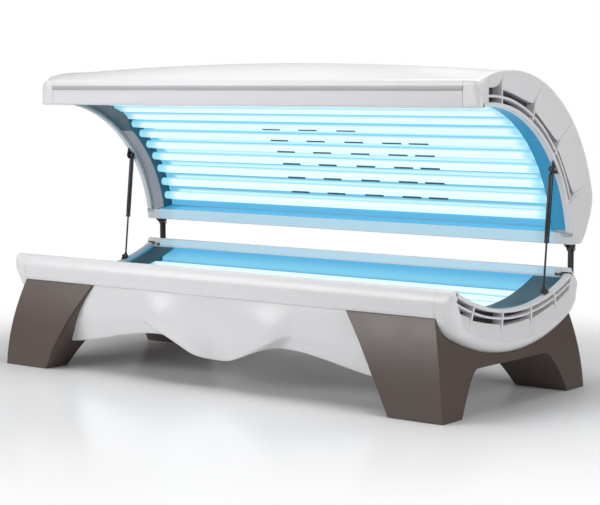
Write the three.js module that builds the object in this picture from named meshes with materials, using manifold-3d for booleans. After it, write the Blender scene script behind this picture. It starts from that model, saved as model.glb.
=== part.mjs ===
// Clamshell tanning bed: a lamp bed on two arched pedestals and a hinged lamp canopy
// held open by two gas springs. Millimetres, X along the bed, -Y towards the user, +Z up.
import * as THREE from 'three';
import { mergeVertices } from 'three/addons/utils/BufferGeometryUtils.js';
import Module from 'manifold-3d';

const wasm = await Module();
wasm.setup();

// Overall length and the gaps between pieces that meet
const overallLength = 2260;
const capLength = 75;
const jointGap = 0.3;
const pinClearance = 0.4;
const capCornerRadius = 45;
const capWall = 5;
const capEndWall = 6;

// Bed section: the acrylic's arc and the rails at its two long edges
const seatHeight = 361;
const bedArcRadius = 930;
const bedOpeningWidth = 810;
const bedCentreY = -15;
const acrylicThickness = 5;
const lipHeight = 8;
const lipWidth = 25;
const frontRailDepth = 42;
const frontRailRise = 19;
const frontRailDrop = 87;
const frontRailStep = 2;
const rearRailDepth = 69;
const rearRailRise = 32;
const rearRailDrop = 82;
const rearRailStep = 3;

// Belly of the bed: an arced skin under the lamps
const bellyDepth = 161;
const bellyArcRadius = 915;
const bellyCornerWidth = 58;
const bellyCornerDraft = 4;
const skinThickness = 4;

// Canopy section: the acrylic's arc, which starts above the bed's rear edge, and the outer skin's arc
const canopyHeelSetback = 4.5;
const canopyHeelRise = 169.4;
const canopyArcRadius = 607;
const canopyFrontAngle = 95;
const canopyRearAngle = 9.6;
const canopyBackDepth = 169;
const canopyRoofDepth = 125;
const canopyRoofFlare = 35;
const canopyBackAngle = 14;
const canopyBackHandle = 60;
const canopyHeelHandle = 24;
const canopyHeelFlat = 6;
const canopyRailDepth = 30;
const canopyRailDrop = 13;
const canopyRailRound = 13;
const canopyRailShoulder = 18;
const canopyRearDrop = 47;
const canopyRearWidth = 61;
const canopyCrown = 37;
const stripeHeight = 18;
const stripeThickness = 3;
const stripeRise = 51;

// Lamps, their holders and the reflectors behind them
const lampRadius = 19;
const lampGlassThickness = 1.5;
const lampStandoff = 14;
const lampPitch = 68;
const canopyLampCount = 12;
const canopyLampInset = 60;
const bedLampCount = 10;
const holderLength = 22;
const holderMargin = 5;
const reflectorGap = 5;
const reflectorThickness = 2;
const endPanelLength = 93;
const endPanelThickness = 3;
const ventRowOne = 3;
const ventRowOneDepth = 14;
const ventRowGap = 8;
const ventRowTwoDepth = 20;
const ventRibShare = 0.1;
const bedVentAngle = 22;
const bedVentBays = 6;
const canopyVentMargin = 5;
const canopyVentBays = 7;

// Pedestals: each one is a pair of splayed legs under a saddle
const legTopWidth = 397;
const legFootWidth = 239;
const legFootInset = 3;
const legLap = 3;
const footReachY = 509;
const footInnerY = 380;
const archHalfWidth = 300;
const archCorner = 50;
const archSplay = 8;
const saddleThickness = 34;
const pedestalWall = 6;

// Front skirt: a draped panel whose lower edge rises in two arches
const skirtThickness = 3.5;
const skirtSetback = 6;
const skirtBulge = 9;
const skirtBulgeShare = 0.8;
const skirtTuck = 34;
const skirtCentreHeight = 109;
const skirtArchHeight = 187;
const skirtArchX = 345;
const skirtLegHeight = 112;

// Hinge posts, lugs and pins at the rear corners
const hingeEndInset = 38;
const hingeDrop = 20;
const hingeInset = 3;
const postDepth = 24;
const postWidth = 14;
const lugCheek = 6;
const lugPlate = 6;
const lugReach = 33;
const pinRadius = 5;
const pinHeadRadius = 8;
const pinHeadLength = 3;
const closingAngle = 36;

// Gas springs: ball-ended cylinders on the canopy, rods on the bed
const strutEndInset = 22;
const strutStandoff = 11.5;
const strutTopAngle = 37.3;
const strutFootAngle = 14.6;
const tabThickness = 6;
const lipSagitta = 0.3;
const tabSpread = 18;
const studRadius = 5;
const eyeRadius = 10;
const eyeLength = 16;
const eyeStem = 2;
const cylinderRadius = 10;
const cylinderBore = 8.6;
const cylinderLength = 287;
const cylinderHead = 24;
const cylinderHeadWall = 6;
const cylinderNeck = 5;
const rodRadius = 4;
const rodEndRoom = 32;

// Control gear and cooling fan on a tray in the belly
const trayLap = 92;
const trayWidth = 300;
const trayThickness = 3;
const ballastCount = 6;
const ballastLength = 170;
const ballastWidth = 90;
const ballastHeight = 42;
const ballastPitch = 200;
const ballastSpacing = 40;
const fanRadius = 92;
const fanTipGap = 4;
const fanBossHeight = 4;
const fanCrown = 6;
const fanHubRadius = 26;
const fanHeight = 34;
const fanShaftRadius = 6;
const fanBladeCount = 5;
const fanBladeThickness = 4;
const fanBladePitch = 52;
const fanSpokeWidth = 12;

// Steps along curves, sides of round pieces and how far a cut runs past what it cuts
const arcSteps = 20;
const cornerSteps = 5;
const backSteps = 7;
const heelSteps = 3;
const noseSteps = 6;
const lugSteps = 8;
const ventSteps = 3;
const roundSides = 16;
const fanSides = 24;
const lampSides = 10;
const skirtColumns = 28;
const skirtRows = 5;
const crownSteps = 8;
const overcut = 1;

// Places that follow from the sizes above
const endHalf = overallLength / 2;
const bodyHalf = endHalf - capLength;
const skinHalf = bodyHalf - jointGap;
const ledgeEnd = endHalf - lipWidth;
const bedArcZ = seatHeight + bedArcRadius;
const bedFrontY = bedCentreY - bedOpeningWidth / 2;
const bedRearY = bedCentreY + bedOpeningWidth / 2;
const bedEdgeZ = bedArcZ - Math.sqrt(bedArcRadius ** 2 - (bedOpeningWidth / 2) ** 2);
const bedOuterFrontY = bedFrontY - frontRailDepth;
const bedOuterRearY = bedRearY + rearRailDepth;
const frontRailBottom = bedEdgeZ - frontRailDrop;
const rearRailBottom = bedEdgeZ - rearRailDrop;
const bellyY = (bedOuterFrontY + bedOuterRearY) / 2;
const bellyZ = seatHeight - bellyDepth + bellyArcRadius;
const stackDepth = acrylicThickness + lampStandoff + lampRadius;
const holderEnd = skinHalf;
const holderStart = holderEnd - holderLength;
const lampHalf = holderStart - jointGap;
const ledgeDepth = acrylicThickness + jointGap;
const legTopOuterX = bodyHalf;
const legTopInnerX = legTopOuterX - legTopWidth;
const trayLength = 2 * (legTopInnerX + trayLap);
const legFootOuterX = endHalf - legFootInset;
const legFootInnerX = legFootOuterX - legFootWidth;
const hingeX = endHalf - hingeEndInset;
const strutX = endHalf - strutEndInset;
const reflectorDepth = stackDepth + lampRadius + reflectorGap;
const holderDepth = reflectorDepth + reflectorThickness + holderMargin;

// Flat outlines are lists of (y, z) points
const point = (y, z) => new THREE.Vector2(y, z);
const radians = THREE.MathUtils.degToRad;

function polar(centre, radius, degrees) {
  const angle = radians(degrees);
  return point(centre.x + radius * Math.cos(angle), centre.y + radius * Math.sin(angle));
}

function arc(centre, radius, from, to, steps) {
  return Array.from({ length: steps + 1 }, (_, i) => polar(centre, radius, from + ((to - from) * i) / steps));
}

function bend(start, control, end, steps) {
  return new THREE.QuadraticBezierCurve(start, control, end).getPoints(steps);
}

// Moves an open outline sideways by a distance, to its left as it runs
function sideways(points, distance) {
  return points.map((p, i) => {
    const before = points[Math.max(i - 1, 0)];
    const after = points[Math.min(i + 1, points.length - 1)];
    const along = after.clone().sub(before).normalize();
    return point(p.x - along.y * distance, p.y + along.x * distance);
  });
}

// A closed band of even thickness along an open outline
function band(points, thickness) {
  return [...points, ...sideways(points, thickness).reverse()];
}

// Turns a closed three.js geometry into a solid with its faces outwards
function solid(geometry) {
  const bare = geometry.clone();
  bare.deleteAttribute('normal');
  bare.deleteAttribute('uv');
  const merged = mergeVertices(bare, 1e-4);
  const corners = [];
  for (let i = 0; i < merged.index.count; i += 3) {
    const [a, b, c] = [0, 1, 2].map((k) => merged.index.getX(i + k));
    if (a !== b && b !== c && c !== a) corners.push(a, b, c);
  }
  const vertProperties = Float32Array.from(merged.attributes.position.array);
  const build = (triVerts) => new wasm.Manifold(new wasm.Mesh({ numProp: 3, vertProperties, triVerts }));
  const body = build(Uint32Array.from(corners));
  return body.volume() > 0 ? body : build(Uint32Array.from(corners.reverse()));
}

// Turns a solid back into a geometry
function surface(body) {
  const mesh = body.getMesh();
  const geometry = new THREE.BufferGeometry();
  geometry.setAttribute('position', new THREE.BufferAttribute(Float32Array.from(mesh.vertProperties), 3));
  geometry.setIndex(new THREE.BufferAttribute(Uint32Array.from(mesh.triVerts), 1));
  geometry.computeVertexNormals();
  return geometry;
}

function prism(points, depth) {
  return new THREE.ExtrudeGeometry(new THREE.Shape(points), { depth, bevelEnabled: false, steps: 1 });
}

// A (y, z) outline run along X between two stations
function alongX(points, from, to) {
  const low = Math.min(from, to);
  const place = new THREE.Matrix4().makeBasis(
    new THREE.Vector3(0, 1, 0),
    new THREE.Vector3(0, 0, 1),
    new THREE.Vector3(1, 0, 0),
  );
  return solid(prism(points, Math.abs(to - from)).applyMatrix4(place).translate(low, 0, 0));
}

// An (x, z) outline run along Y between two stations
function alongY(points, from, to) {
  const place = new THREE.Matrix4().makeBasis(
    new THREE.Vector3(1, 0, 0),
    new THREE.Vector3(0, 0, 1),
    new THREE.Vector3(0, -1, 0),
  );
  return solid(prism(points, to - from).applyMatrix4(place).translate(0, to, 0));
}

// An (x, y) outline run along Z between two stations
function alongZ(points, from, to) {
  return solid(prism(points, to - from).translate(0, 0, from));
}

// A round bar along X
function barX(radius, from, to, y, z, sides) {
  const bar = new THREE.CylinderGeometry(radius, radius, Math.abs(to - from), sides);
  return solid(bar.rotateZ(Math.PI / 2).translate((from + to) / 2, y, z));
}

// A solid turned about Z from a profile of (radius, height) points
function turned(profile, sides) {
  const points = profile.map(([radius, height]) => point(radius, height));
  return solid(new THREE.LatheGeometry(points, sides).rotateX(Math.PI / 2));
}

// A closed skin through a row of equal outlines, one at each station along X
function loft(stations, outlineAt) {
  const rows = stations.map((x) => outlineAt(x));
  const count = rows[0].length;
  const positions = rows.flatMap((row, i) => row.flatMap((p) => [stations[i], p.x, p.y]));
  const index = [];
  for (let i = 0; i + 1 < rows.length; i += 1) {
    for (let j = 0; j < count; j += 1) {
      const a = i * count + j;
      const b = i * count + ((j + 1) % count);
      index.push(a, b, b + count, a, b + count, a + count);
    }
  }
  const last = (rows.length - 1) * count;
  THREE.ShapeUtils.triangulateShape(rows[0], []).forEach(([a, b, c]) => index.push(a, c, b));
  THREE.ShapeUtils.triangulateShape(rows[rows.length - 1], []).forEach(([a, b, c]) => {
    index.push(last + a, last + b, last + c);
  });
  const geometry = new THREE.BufferGeometry();
  geometry.setAttribute('position', new THREE.Float32BufferAttribute(positions, 3));
  geometry.setIndex(index);
  return solid(geometry);
}

// The outline's corner towards the user is rounded in plan at both ends
function roundedPlan(side, frontY, rearY) {
  const corner = point(endHalf - capCornerRadius, frontY + capCornerRadius);
  const outline = [
    point(bodyHalf, frontY),
    ...arc(corner, capCornerRadius, -90, 0, cornerSteps),
    point(endHalf, rearY),
    point(bodyHalf, rearY),
  ];
  return outline.map((p) => point(side * p.x, p.y));
}

// Bed arc by angle at a given y, and the belly's height at a given y
const bedArcCentre = point(bedCentreY, bedArcZ);
const bedAngleAt = (y, radius) => THREE.MathUtils.radToDeg(Math.asin((y - bedCentreY) / radius)) - 90;
const bellyZAt = (y, lift) => bellyZ - Math.sqrt((bellyArcRadius - lift) ** 2 - (y - bellyY) ** 2);

function bedArc(depth, fromY, toY, steps) {
  const radius = bedArcRadius + depth;
  return arc(bedArcCentre, radius, bedAngleAt(fromY, radius), bedAngleAt(toY, radius), steps);
}

function bellyArc(lift, fromY, toY, steps) {
  const radius = bellyArcRadius - lift;
  const angleAt = (y) => THREE.MathUtils.radToDeg(Math.asin((y - bellyY) / radius)) - 90;
  return arc(point(bellyY, bellyZ), radius, angleAt(fromY), angleAt(toY), steps);
}

// A layer under the bed's acrylic, between two depths below its upper face
function bedLayer(top, bottom, fromY, toY, steps) {
  return [...bedArc(bottom, fromY, toY, steps), ...bedArc(top, toY, fromY, steps)];
}

// Show face of the bed's front rail, from its crest down to its lower edge
function frontRailFace() {
  const crest = bedEdgeZ + frontRailRise;
  const height = crest - frontRailBottom;
  const reach = (share) => bedFrontY - frontRailDepth * share;
  const level = (share) => frontRailBottom + height * share;
  const upper = [[0.1, 0.985], [0.24, 1], [0.5, 0.965], [0.76, 0.83]];
  const lower = [[0.95, 0.63], [1, 0.4], [0.95, 0.17], [0.77, 0]];
  const marks = [...upper, ...lower];
  return marks.map(([across, up]) => point(reach(across), level(up)));
}

// Back face of the bed's rear rail, from its lower edge up to its crest
function rearRailFace() {
  const crest = bedEdgeZ + rearRailRise;
  const height = crest - rearRailBottom;
  const reach = (share) => bedRearY + rearRailDepth * share;
  const level = (share) => rearRailBottom + height * share;
  const lower = [[0.9, 0], [0.98, 0.12], [1, 0.26], [0.95, 0.38]];
  const upper = [[0.72, 0.53], [0.3, 0.83], [0.15, 0.98], [0.06, 1]];
  const marks = [...lower, ...upper];
  return marks.map(([across, up]) => point(reach(across), level(up)));
}

// Underside of the bed at its ends, from the front rail round the belly to the rear rail
function bedUnderside(grow) {
  const frontFoot = frontRailFace().at(-1);
  const rearFoot = rearRailFace()[0];
  const startY = bedOuterFrontY + bellyCornerWidth;
  const endY = bedOuterRearY - bellyCornerWidth;
  const bottom = bellyArc(0, startY, endY, arcSteps * 2);
  const slope = (startY - bellyY) / (bellyZ - bottom[0].y);
  const frontX = frontFoot.x + bellyCornerDraft;
  const rearX = rearFoot.x - bellyCornerDraft;
  const frontControl = point(frontX, bottom[0].y + slope * (frontX - startY));
  const rearControl = point(rearX, bottom.at(-1).y - slope * (rearX - endY));
  const path = [
    ...bend(frontFoot, frontControl, bottom[0], cornerSteps).slice(0, -1),
    ...bottom,
    ...bend(bottom.at(-1), rearControl, rearFoot, cornerSteps).slice(1),
  ];
  return grow ? sideways(path, -grow) : path;
}

// Whole outline of a bed end cap, lip first
function bedOutline() {
  return [
    ...bedArc(-lipHeight, bedRearY, bedFrontY, arcSteps),
    ...frontRailFace().slice(0, -1),
    ...bedUnderside(0),
    ...rearRailFace().slice(1),
  ];
}

// Canopy arcs and the outline of its outer skin
const canopyArcY = bedRearY + canopyHeelSetback - canopyArcRadius * Math.cos(radians(canopyRearAngle));
const canopyArcZ = bedEdgeZ + canopyHeelRise - canopyArcRadius * Math.sin(radians(canopyRearAngle));
const canopyCentre = point(canopyArcY, canopyArcZ);
const rim = polar(canopyCentre, canopyArcRadius, canopyFrontAngle);
const heel = polar(canopyCentre, canopyArcRadius, canopyRearAngle);
const canopyBottom = heel.y - canopyRearDrop;
const canopyBottomRearY = heel.x + canopyRearWidth;
const canopyTopZ = canopyArcZ + canopyArcRadius + canopyRoofDepth;
const canopyBackY = canopyArcY + canopyArcRadius + canopyBackDepth;
const canopyRoofRadius = canopyArcRadius + canopyRoofFlare;
const roofCentre = point(canopyBackY - canopyRoofRadius, canopyTopZ - canopyRoofRadius);
const canopyFrontY = rim.x - canopyRailDepth;
const shoulderY = canopyFrontY + canopyRailShoulder;
const shoulderAngle = THREE.MathUtils.radToDeg(Math.acos((shoulderY - roofCentre.x) / canopyRoofRadius));

function canopyLayer(inner, outer, from, to, steps) {
  return [
    ...arc(canopyCentre, canopyArcRadius + outer, from, to, steps),
    ...arc(canopyCentre, canopyArcRadius + inner, to, from, steps),
  ];
}

// Show face of the canopy's front rail, from the roof down to its lower edge
function canopyRailFace() {
  const bottom = rim.y - canopyRailDrop;
  const shoulder = polar(roofCentre, canopyRoofRadius, shoulderAngle);
  const stripeTop = point(canopyFrontY, rim.y + stripeRise + stripeHeight);
  const lowerFront = point(canopyFrontY, bottom + canopyRailRound);
  const lowerBack = point(canopyFrontY + canopyRailRound, bottom);
  return [
    ...bend(shoulder, point(canopyFrontY, shoulder.y), stripeTop, cornerSteps),
    ...bend(lowerFront, point(canopyFrontY, bottom), lowerBack, cornerSteps),
  ];
}

// Outer skin of the canopy from the hinge side up the back
function canopyBack() {
  const start = point(canopyBottomRearY, canopyBottom);
  const flat = point(start.x + canopyHeelFlat, canopyBottom);
  const upper = polar(roofCentre, canopyRoofRadius, canopyBackAngle);
  const downward = polar(point(0, 0), canopyBackHandle, canopyBackAngle - 90);
  const leave = point(flat.x + canopyHeelHandle, flat.y);
  const curve = new THREE.CubicBezierCurve(flat, leave, upper.clone().add(downward), upper);
  return [start, ...curve.getPoints(backSteps)];
}

// Outer skin of the canopy over the roof, from the back to a given angle
function canopyRoof(endAngle) {
  return arc(roofCentre, canopyRoofRadius, canopyBackAngle, endAngle, arcSteps);
}

function canopyOutline() {
  return [
    point(heel.x, canopyBottom),
    ...canopyBack().slice(0, -1),
    ...canopyRoof(shoulderAngle),
    ...canopyRailFace().slice(1),
    ...arc(canopyCentre, canopyArcRadius - lipHeight, canopyFrontAngle, canopyRearAngle, arcSteps),
  ];
}

// Hinge and gas spring points in the (y, z) plane, with the canopy open
const hinge = point(canopyBottomRearY - hingeInset, canopyBottom - hingeDrop);
const strutTop = polar(canopyCentre, canopyArcRadius - lipHeight - strutStandoff, strutTopAngle);
const strutFoot = polar(bedArcCentre, bedArcRadius - lipHeight - strutStandoff, strutFootAngle - 90);
const strutTopClosed = strutTop.clone().rotateAround(hinge, radians(closingAngle));
const closedLength = strutTopClosed.distanceTo(strutFoot);
const strutRun = strutFoot.clone().sub(strutTop);
const strutTilt = Math.atan2(strutRun.x, -strutRun.y);

// Finishes
function finish(color, roughness, metalness) {
  return () => new THREE.MeshStandardMaterial({ color, roughness, metalness });
}

const whiteShell = finish(0xe9e9ea, 0.35, 0);
const greyTrim = finish(0xaeb0b2, 0.4, 0.1);
const taupePaint = finish(0x63554f, 0.5, 0);
const blackSteel = finish(0x17181b, 0.45, 0.4);
const brightSteel = finish(0xb8bcc0, 0.25, 0.9);
const clearAcrylic = finish(0xcfeaf4, 0.08, 0);
const lampGlass = finish(0xe6f8ff, 0.2, 0);
const reflectorSheet = finish(0x7cc0e4, 0.2, 0.8);
const darkPanel = finish(0x3f606d, 0.4, 0);
const gearSteel = finish(0x9aa0a5, 0.5, 0.6);
const fanPlastic = finish(0x26282b, 0.6, 0);

const bed = new THREE.Group();
const base = new THREE.Group();
const canopy = new THREE.Group();
bed.add(base, canopy);

function add(group, name, body, material) {
  const mesh = new THREE.Mesh(surface(body), material());
  mesh.name = name;
  group.add(mesh);
  return mesh;
}

const sides = [['left', -1], ['right', 1]];

// Rails, belly and acrylic of the bed
function bedFrontRail() {
  const face = frontRailFace();
  const back = [point(bedFrontY, face.at(-1).y), point(bedFrontY, face[0].y - frontRailStep)];
  return alongX([...face, ...back], -skinHalf, skinHalf);
}

function bedRearRail() {
  const face = rearRailFace();
  const back = [point(bedRearY, face.at(-1).y - rearRailStep), point(bedRearY, face[0].y)];
  return alongX([...face, ...back], -skinHalf, skinHalf);
}

function bedShell() {
  const frontTop = point(bedFrontY - skinThickness, frontRailBottom - jointGap);
  const rearTop = point(rearRailFace()[0].x - skinThickness * 2, rearRailBottom - jointGap);
  const frontStart = point(frontTop.x, frontTop.y - skinThickness);
  const rearEnd = point(rearTop.x, rearTop.y - skinThickness);
  const bottom = bellyArc(0, frontTop.x + bellyCornerWidth, rearTop.x - bellyCornerWidth, arcSteps * 2);
  const frontControl = point(frontTop.x, bottom[0].y + bellyCornerWidth / 2);
  const rearControl = point(rearTop.x, bottom.at(-1).y + bellyCornerWidth / 2);
  const path = [
    frontTop,
    ...bend(frontStart, frontControl, bottom[0], cornerSteps).slice(0, -1),
    ...bottom,
    ...bend(bottom.at(-1), rearControl, rearEnd, cornerSteps).slice(1),
    rearTop,
  ];
  const skin = alongX(band(path, skinThickness), -skinHalf, skinHalf);
  const inlet = turned([[0, 0], [fanRadius, 0], [fanRadius, bedArcZ], [0, bedArcZ]], fanSides);
  return skin.subtract(inlet.translate([0, bellyY, 0]));
}

function bedAcrylic() {
  const layer = bedLayer(0, acrylicThickness, bedFrontY + jointGap, bedRearY - jointGap, arcSteps);
  return alongX(layer, -(ledgeEnd - jointGap), ledgeEnd - jointGap);
}

function bedReflector() {
  const margin = reflectorGap + jointGap;
  const back = reflectorDepth + reflectorThickness;
  const layer = bedLayer(reflectorDepth, back, bedFrontY + margin, bedRearY - margin, arcSteps);
  return alongX(layer, -lampHalf, lampHalf);
}

// A holder bar behind the lamp ends, with the dark panel that covers them under the acrylic
function bedHolder(side) {
  const frontY = bedFrontY + capWall + jointGap;
  const rearY = bedRearY - capWall - jointGap;
  const panelTop = ledgeDepth;
  const panelBottom = panelTop + endPanelThickness;
  const panel = alongX(
    bedLayer(panelTop, panelBottom, frontY, rearY, arcSteps),
    side * (holderEnd - endPanelLength),
    side * holderEnd,
  );
  const bar = bedLayer(panelTop + overcut, holderDepth, frontY, rearY, arcSteps);
  return panel.add(alongX(bar, side * holderStart, side * holderEnd));
}

// Two rows of vents in the end wall, in bays between radial ribs
function vents(centre, wallRadius, from, to, bays, side) {
  const bay = (to - from) / bays;
  const rib = bay * ventRibShare;
  const rowOne = wallRadius + ventRowOne;
  const rowTwo = rowOne + ventRowOneDepth + ventRowGap;
  let cuts = null;
  for (const [inner, outer] of [[rowOne, rowOne + ventRowOneDepth], [rowTwo, rowTwo + ventRowTwoDepth]]) {
    for (let i = 0; i < bays; i += 1) {
      const start = from + bay * i + rib;
      const end = from + bay * (i + 1) - rib;
      const outside = arc(centre, outer, start, end, ventSteps);
      const slot = [...outside, ...arc(centre, inner, end, start, ventSteps)];
      const cut = alongX(slot, side * ledgeEnd, side * (endHalf + overcut));
      cuts = cuts ? cuts.add(cut) : cut;
    }
  }
  return cuts;
}

function bedEndCap(side) {
  const block = alongX(bedOutline(), side * bodyHalf, side * endHalf);
  const plan = alongZ(roundedPlan(side, bedOuterFrontY, bedOuterRearY), 0, bedArcZ);
  const ledge = bedLayer(-lipHeight - overcut, ledgeDepth, bedFrontY, bedRearY, arcSteps);
  const ledgeCut = alongX(ledge, side * (bodyHalf - overcut), side * ledgeEnd);
  const frontY = bedFrontY + capWall;
  const rearY = bedRearY - capWall;
  const hollow = [
    ...bellyArc(capWall, frontY, rearY, arcSteps),
    ...bedArc(ledgeDepth + capWall, rearY, frontY, arcSteps),
  ];
  const hollowCut = alongX(hollow, side * (bodyHalf - overcut), side * (endHalf - capEndWall));
  const wall = bedArcRadius + ledgeDepth + capWall;
  const ventCut = vents(bedArcCentre, wall, -90 - bedVentAngle, -90 + bedVentAngle, bedVentBays, side);
  return block.intersect(plan).subtract(ledgeCut).subtract(hollowCut).subtract(ventCut);
}

// Pedestal section across the bed; a positive inset gives the hollow inside it
function pedestalSection(inset, top) {
  const archTop = seatHeight - bellyDepth - saddleThickness + inset;
  const foot = inset;
  const reach = footReachY - inset;
  const frontTopY = frontRailFace().at(-1).x - legLap + inset;
  const rearTopY = rearRailFace()[0].x + legLap - inset;
  const inner = footInnerY + inset;
  const half = archHalfWidth + inset;
  const mid = bellyY;
  const rise = archTop - archCorner / 2;
  const archEnd = point(half - archCorner, archTop);
  const rear = bend(point(inner, foot), point(half + archSplay, rise), archEnd, cornerSteps);
  const front = rear.map((p) => point(-p.x, p.y)).reverse();
  const arch = [...rear, ...front].map((p) => point(p.x + mid, p.y));
  return [
    point(mid - reach, foot),
    ...arch.reverse(),
    point(mid + reach, foot),
    ...top(frontTopY, rearTopY),
  ];
}

function pedestal(side) {
  const crest = frontRailBottom - jointGap;
  const under = bedUnderside(jointGap).slice(1, -1).reverse();
  const seat = (frontTopY, rearTopY) => [
    point(rearTopY, crest),
    point(rearRailFace()[0].x, crest),
    ...under,
    point(frontRailFace().at(-1).x - jointGap, crest),
    point(frontTopY, crest),
  ];
  const open = (frontTopY, rearTopY) => [
    point(rearTopY, crest),
    point(rearTopY, bedArcZ),
    point(frontTopY, bedArcZ),
    point(frontTopY, crest),
  ];
  const width = (inset, low, high) => [
    point(legFootInnerX + inset, low),
    point(legFootOuterX - inset, low),
    point(legTopOuterX - inset, crest),
    point(legTopOuterX - inset, high),
    point(legTopInnerX + inset, high),
    point(legTopInnerX + inset, crest),
  ].map((p) => point(side * p.x, p.y));
  const far = footReachY * 2;
  const block = alongX(pedestalSection(0, seat), side * legTopInnerX, side * legFootOuterX);
  const shape = alongY(width(0, 0, crest + overcut), -far, far);
  const room = alongX(pedestalSection(pedestalWall, open), side * legTopInnerX, side * legFootOuterX);
  const roomShape = alongY(width(pedestalWall, 0, bedArcZ), -far, far);
  return block.intersect(shape).subtract(room.intersect(roomShape));
}

// Lower edge of the skirt: two arches between a low middle and the legs
function skirtEdge(x) {
  const run = Math.abs(x);
  if (run < skirtArchX) {
    const share = (1 - Math.cos((Math.PI * run) / skirtArchX)) / 2;
    return skirtCentreHeight + (skirtArchHeight - skirtCentreHeight) * share;
  }
  const span = legFootInnerX - skirtArchX;
  const share = (1 + Math.cos((Math.PI * (run - skirtArchX)) / span)) / 2;
  return skirtLegHeight + (skirtArchHeight - skirtLegHeight) * share;
}

function frontSkirt() {
  const top = frontRailBottom - jointGap;
  const columns = skirtColumns;
  const rows = skirtRows;
  const legEdge = (z) => legTopInnerX + ((legFootInnerX - legTopInnerX) * (top - z)) / top - jointGap * 2;
  const faceY = frontRailFace().at(-1).x + skirtSetback;
  const grid = (back) => {
    const list = [];
    for (let i = 0; i <= columns; i += 1) {
      const across = (2 * i) / columns - 1;
      for (let j = 0; j <= rows; j += 1) {
        const drop = j / rows;
        const guess = legEdge(top - (top - skirtLegHeight) * drop) * across;
        const z = top - (top - skirtEdge(guess)) * drop;
        const x = legEdge(z) * across;
        const bulge = skirtBulge * Math.sin(Math.PI * Math.min(drop / skirtBulgeShare, 1));
        const tuck = skirtTuck * drop ** 3;
        list.push(x, faceY - bulge + tuck + back, z);
      }
    }
    return list;
  };
  const positions = [...grid(0), ...grid(skirtThickness)];
  const stride = rows + 1;
  const layer = (columns + 1) * stride;
  const index = [];
  const quad = (a, b, c, d) => index.push(a, b, c, a, c, d);
  for (let i = 0; i < columns; i += 1) {
    for (let j = 0; j < rows; j += 1) {
      const a = i * stride + j;
      quad(a, a + 1, a + stride + 1, a + stride);
      quad(layer + a, layer + a + stride, layer + a + stride + 1, layer + a + 1);
    }
    const low = i * stride + rows;
    const high = i * stride;
    quad(low, layer + low, layer + low + stride, low + stride);
    quad(high, high + stride, layer + high + stride, layer + high);
  }
  for (let j = 0; j < rows; j += 1) {
    const end = columns * stride + j;
    quad(j, layer + j, layer + j + 1, j + 1);
    quad(end, end + 1, layer + end + 1, layer + end);
  }
  const geometry = new THREE.BufferGeometry();
  geometry.setAttribute('position', new THREE.Float32BufferAttribute(positions, 3));
  geometry.setIndex(index);
  return solid(geometry);
}

// Gear tray: ballasts in two rows, with the fan's spider over the inlet
function gearTray() {
  const half = trayWidth / 2;
  const floor = bellyZAt(bellyY + half, skinThickness) + jointGap;
  const top = floor + trayThickness;
  const plate = new THREE.BoxGeometry(trayLength, trayWidth, trayThickness);
  const opening = turned([[0, 0], [fanRadius, 0], [fanRadius, bedArcZ], [0, bedArcZ]], fanSides);
  let tray = solid(plate.translate(0, 0, floor + trayThickness / 2)).subtract(opening);
  for (let i = 0; i < ballastCount; i += 1) {
    const side = i % 2 ? 1 : -1;
    const x = side * (fanRadius + ballastLength / 2 + ballastSpacing + ballastPitch * Math.floor(i / 2));
    const box = new THREE.BoxGeometry(ballastLength, ballastWidth, ballastHeight + overcut);
    tray = tray.add(solid(box.translate(x, 0, top + (ballastHeight - overcut) / 2)));
  }
  const spoke = new THREE.BoxGeometry(fanRadius * 2 + fanSpokeWidth, fanSpokeWidth, trayThickness);
  const cross = solid(spoke.clone().translate(0, 0, floor + trayThickness / 2));
  const across = solid(spoke.rotateZ(Math.PI / 2).translate(0, 0, floor + trayThickness / 2));
  const bossTop = top + fanBossHeight;
  const shaftTop = bossTop + fanHeight - fanCrown;
  const boss = [[0, floor], [fanHubRadius, floor], [fanHubRadius, bossTop], [fanShaftRadius, bossTop]];
  const shaft = [...boss, [fanShaftRadius, shaftTop], [0, shaftTop]];
  return tray.add(cross).add(across).add(turned(shaft, roundSides)).translate([0, bellyY, 0]);
}

function fanRotor() {
  const trayFloor = bellyZAt(bellyY + trayWidth / 2, skinThickness) + jointGap;
  const floor = trayFloor + trayThickness + fanBossHeight + jointGap;
  const bore = fanShaftRadius + pinClearance;
  const hub = turned([
    [bore, floor],
    [fanHubRadius, floor],
    [fanHubRadius, floor + fanHeight],
    [0, floor + fanHeight],
    [0, floor + fanHeight - fanCrown],
    [bore, floor + fanHeight - fanCrown],
    [bore, floor],
  ], roundSides);
  const root = fanHubRadius - fanCrown;
  const reach = fanRadius - fanTipGap - root;
  let rotor = hub;
  for (let i = 0; i < fanBladeCount; i += 1) {
    const blade = new THREE.BoxGeometry(reach, fanHeight, fanBladeThickness);
    blade.rotateX(radians(fanBladePitch));
    blade.translate(root + reach / 2, 0, floor + fanHeight / 2);
    blade.rotateZ((2 * Math.PI * i) / fanBladeCount);
    rotor = rotor.add(solid(blade));
  }
  return rotor.translate([0, bellyY, 0]);
}

// Lamps lie side by side along each arc
function lamp(group, name, centre) {
  const bore = lampRadius - lampGlassThickness;
  const wall = [[bore, -lampHalf], [lampRadius, -lampHalf], [lampRadius, lampHalf], [bore, lampHalf]];
  const mesh = add(group, name, turned([...wall, wall[0]], lampSides), lampGlass);
  mesh.rotation.y = Math.PI / 2;
  mesh.position.set(0, centre.x, centre.y);
}

const lampNumber = (i) => String(i + 1).padStart(2, '0');

function bedLamps() {
  const radius = bedArcRadius + stackDepth;
  const step = THREE.MathUtils.radToDeg(lampPitch / radius);
  for (let i = 0; i < bedLampCount; i += 1) {
    const angle = -90 + (i - (bedLampCount - 1) / 2) * step;
    lamp(base, `bed_lamp_${lampNumber(i)}`, polar(bedArcCentre, radius, angle));
  }
}

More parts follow.
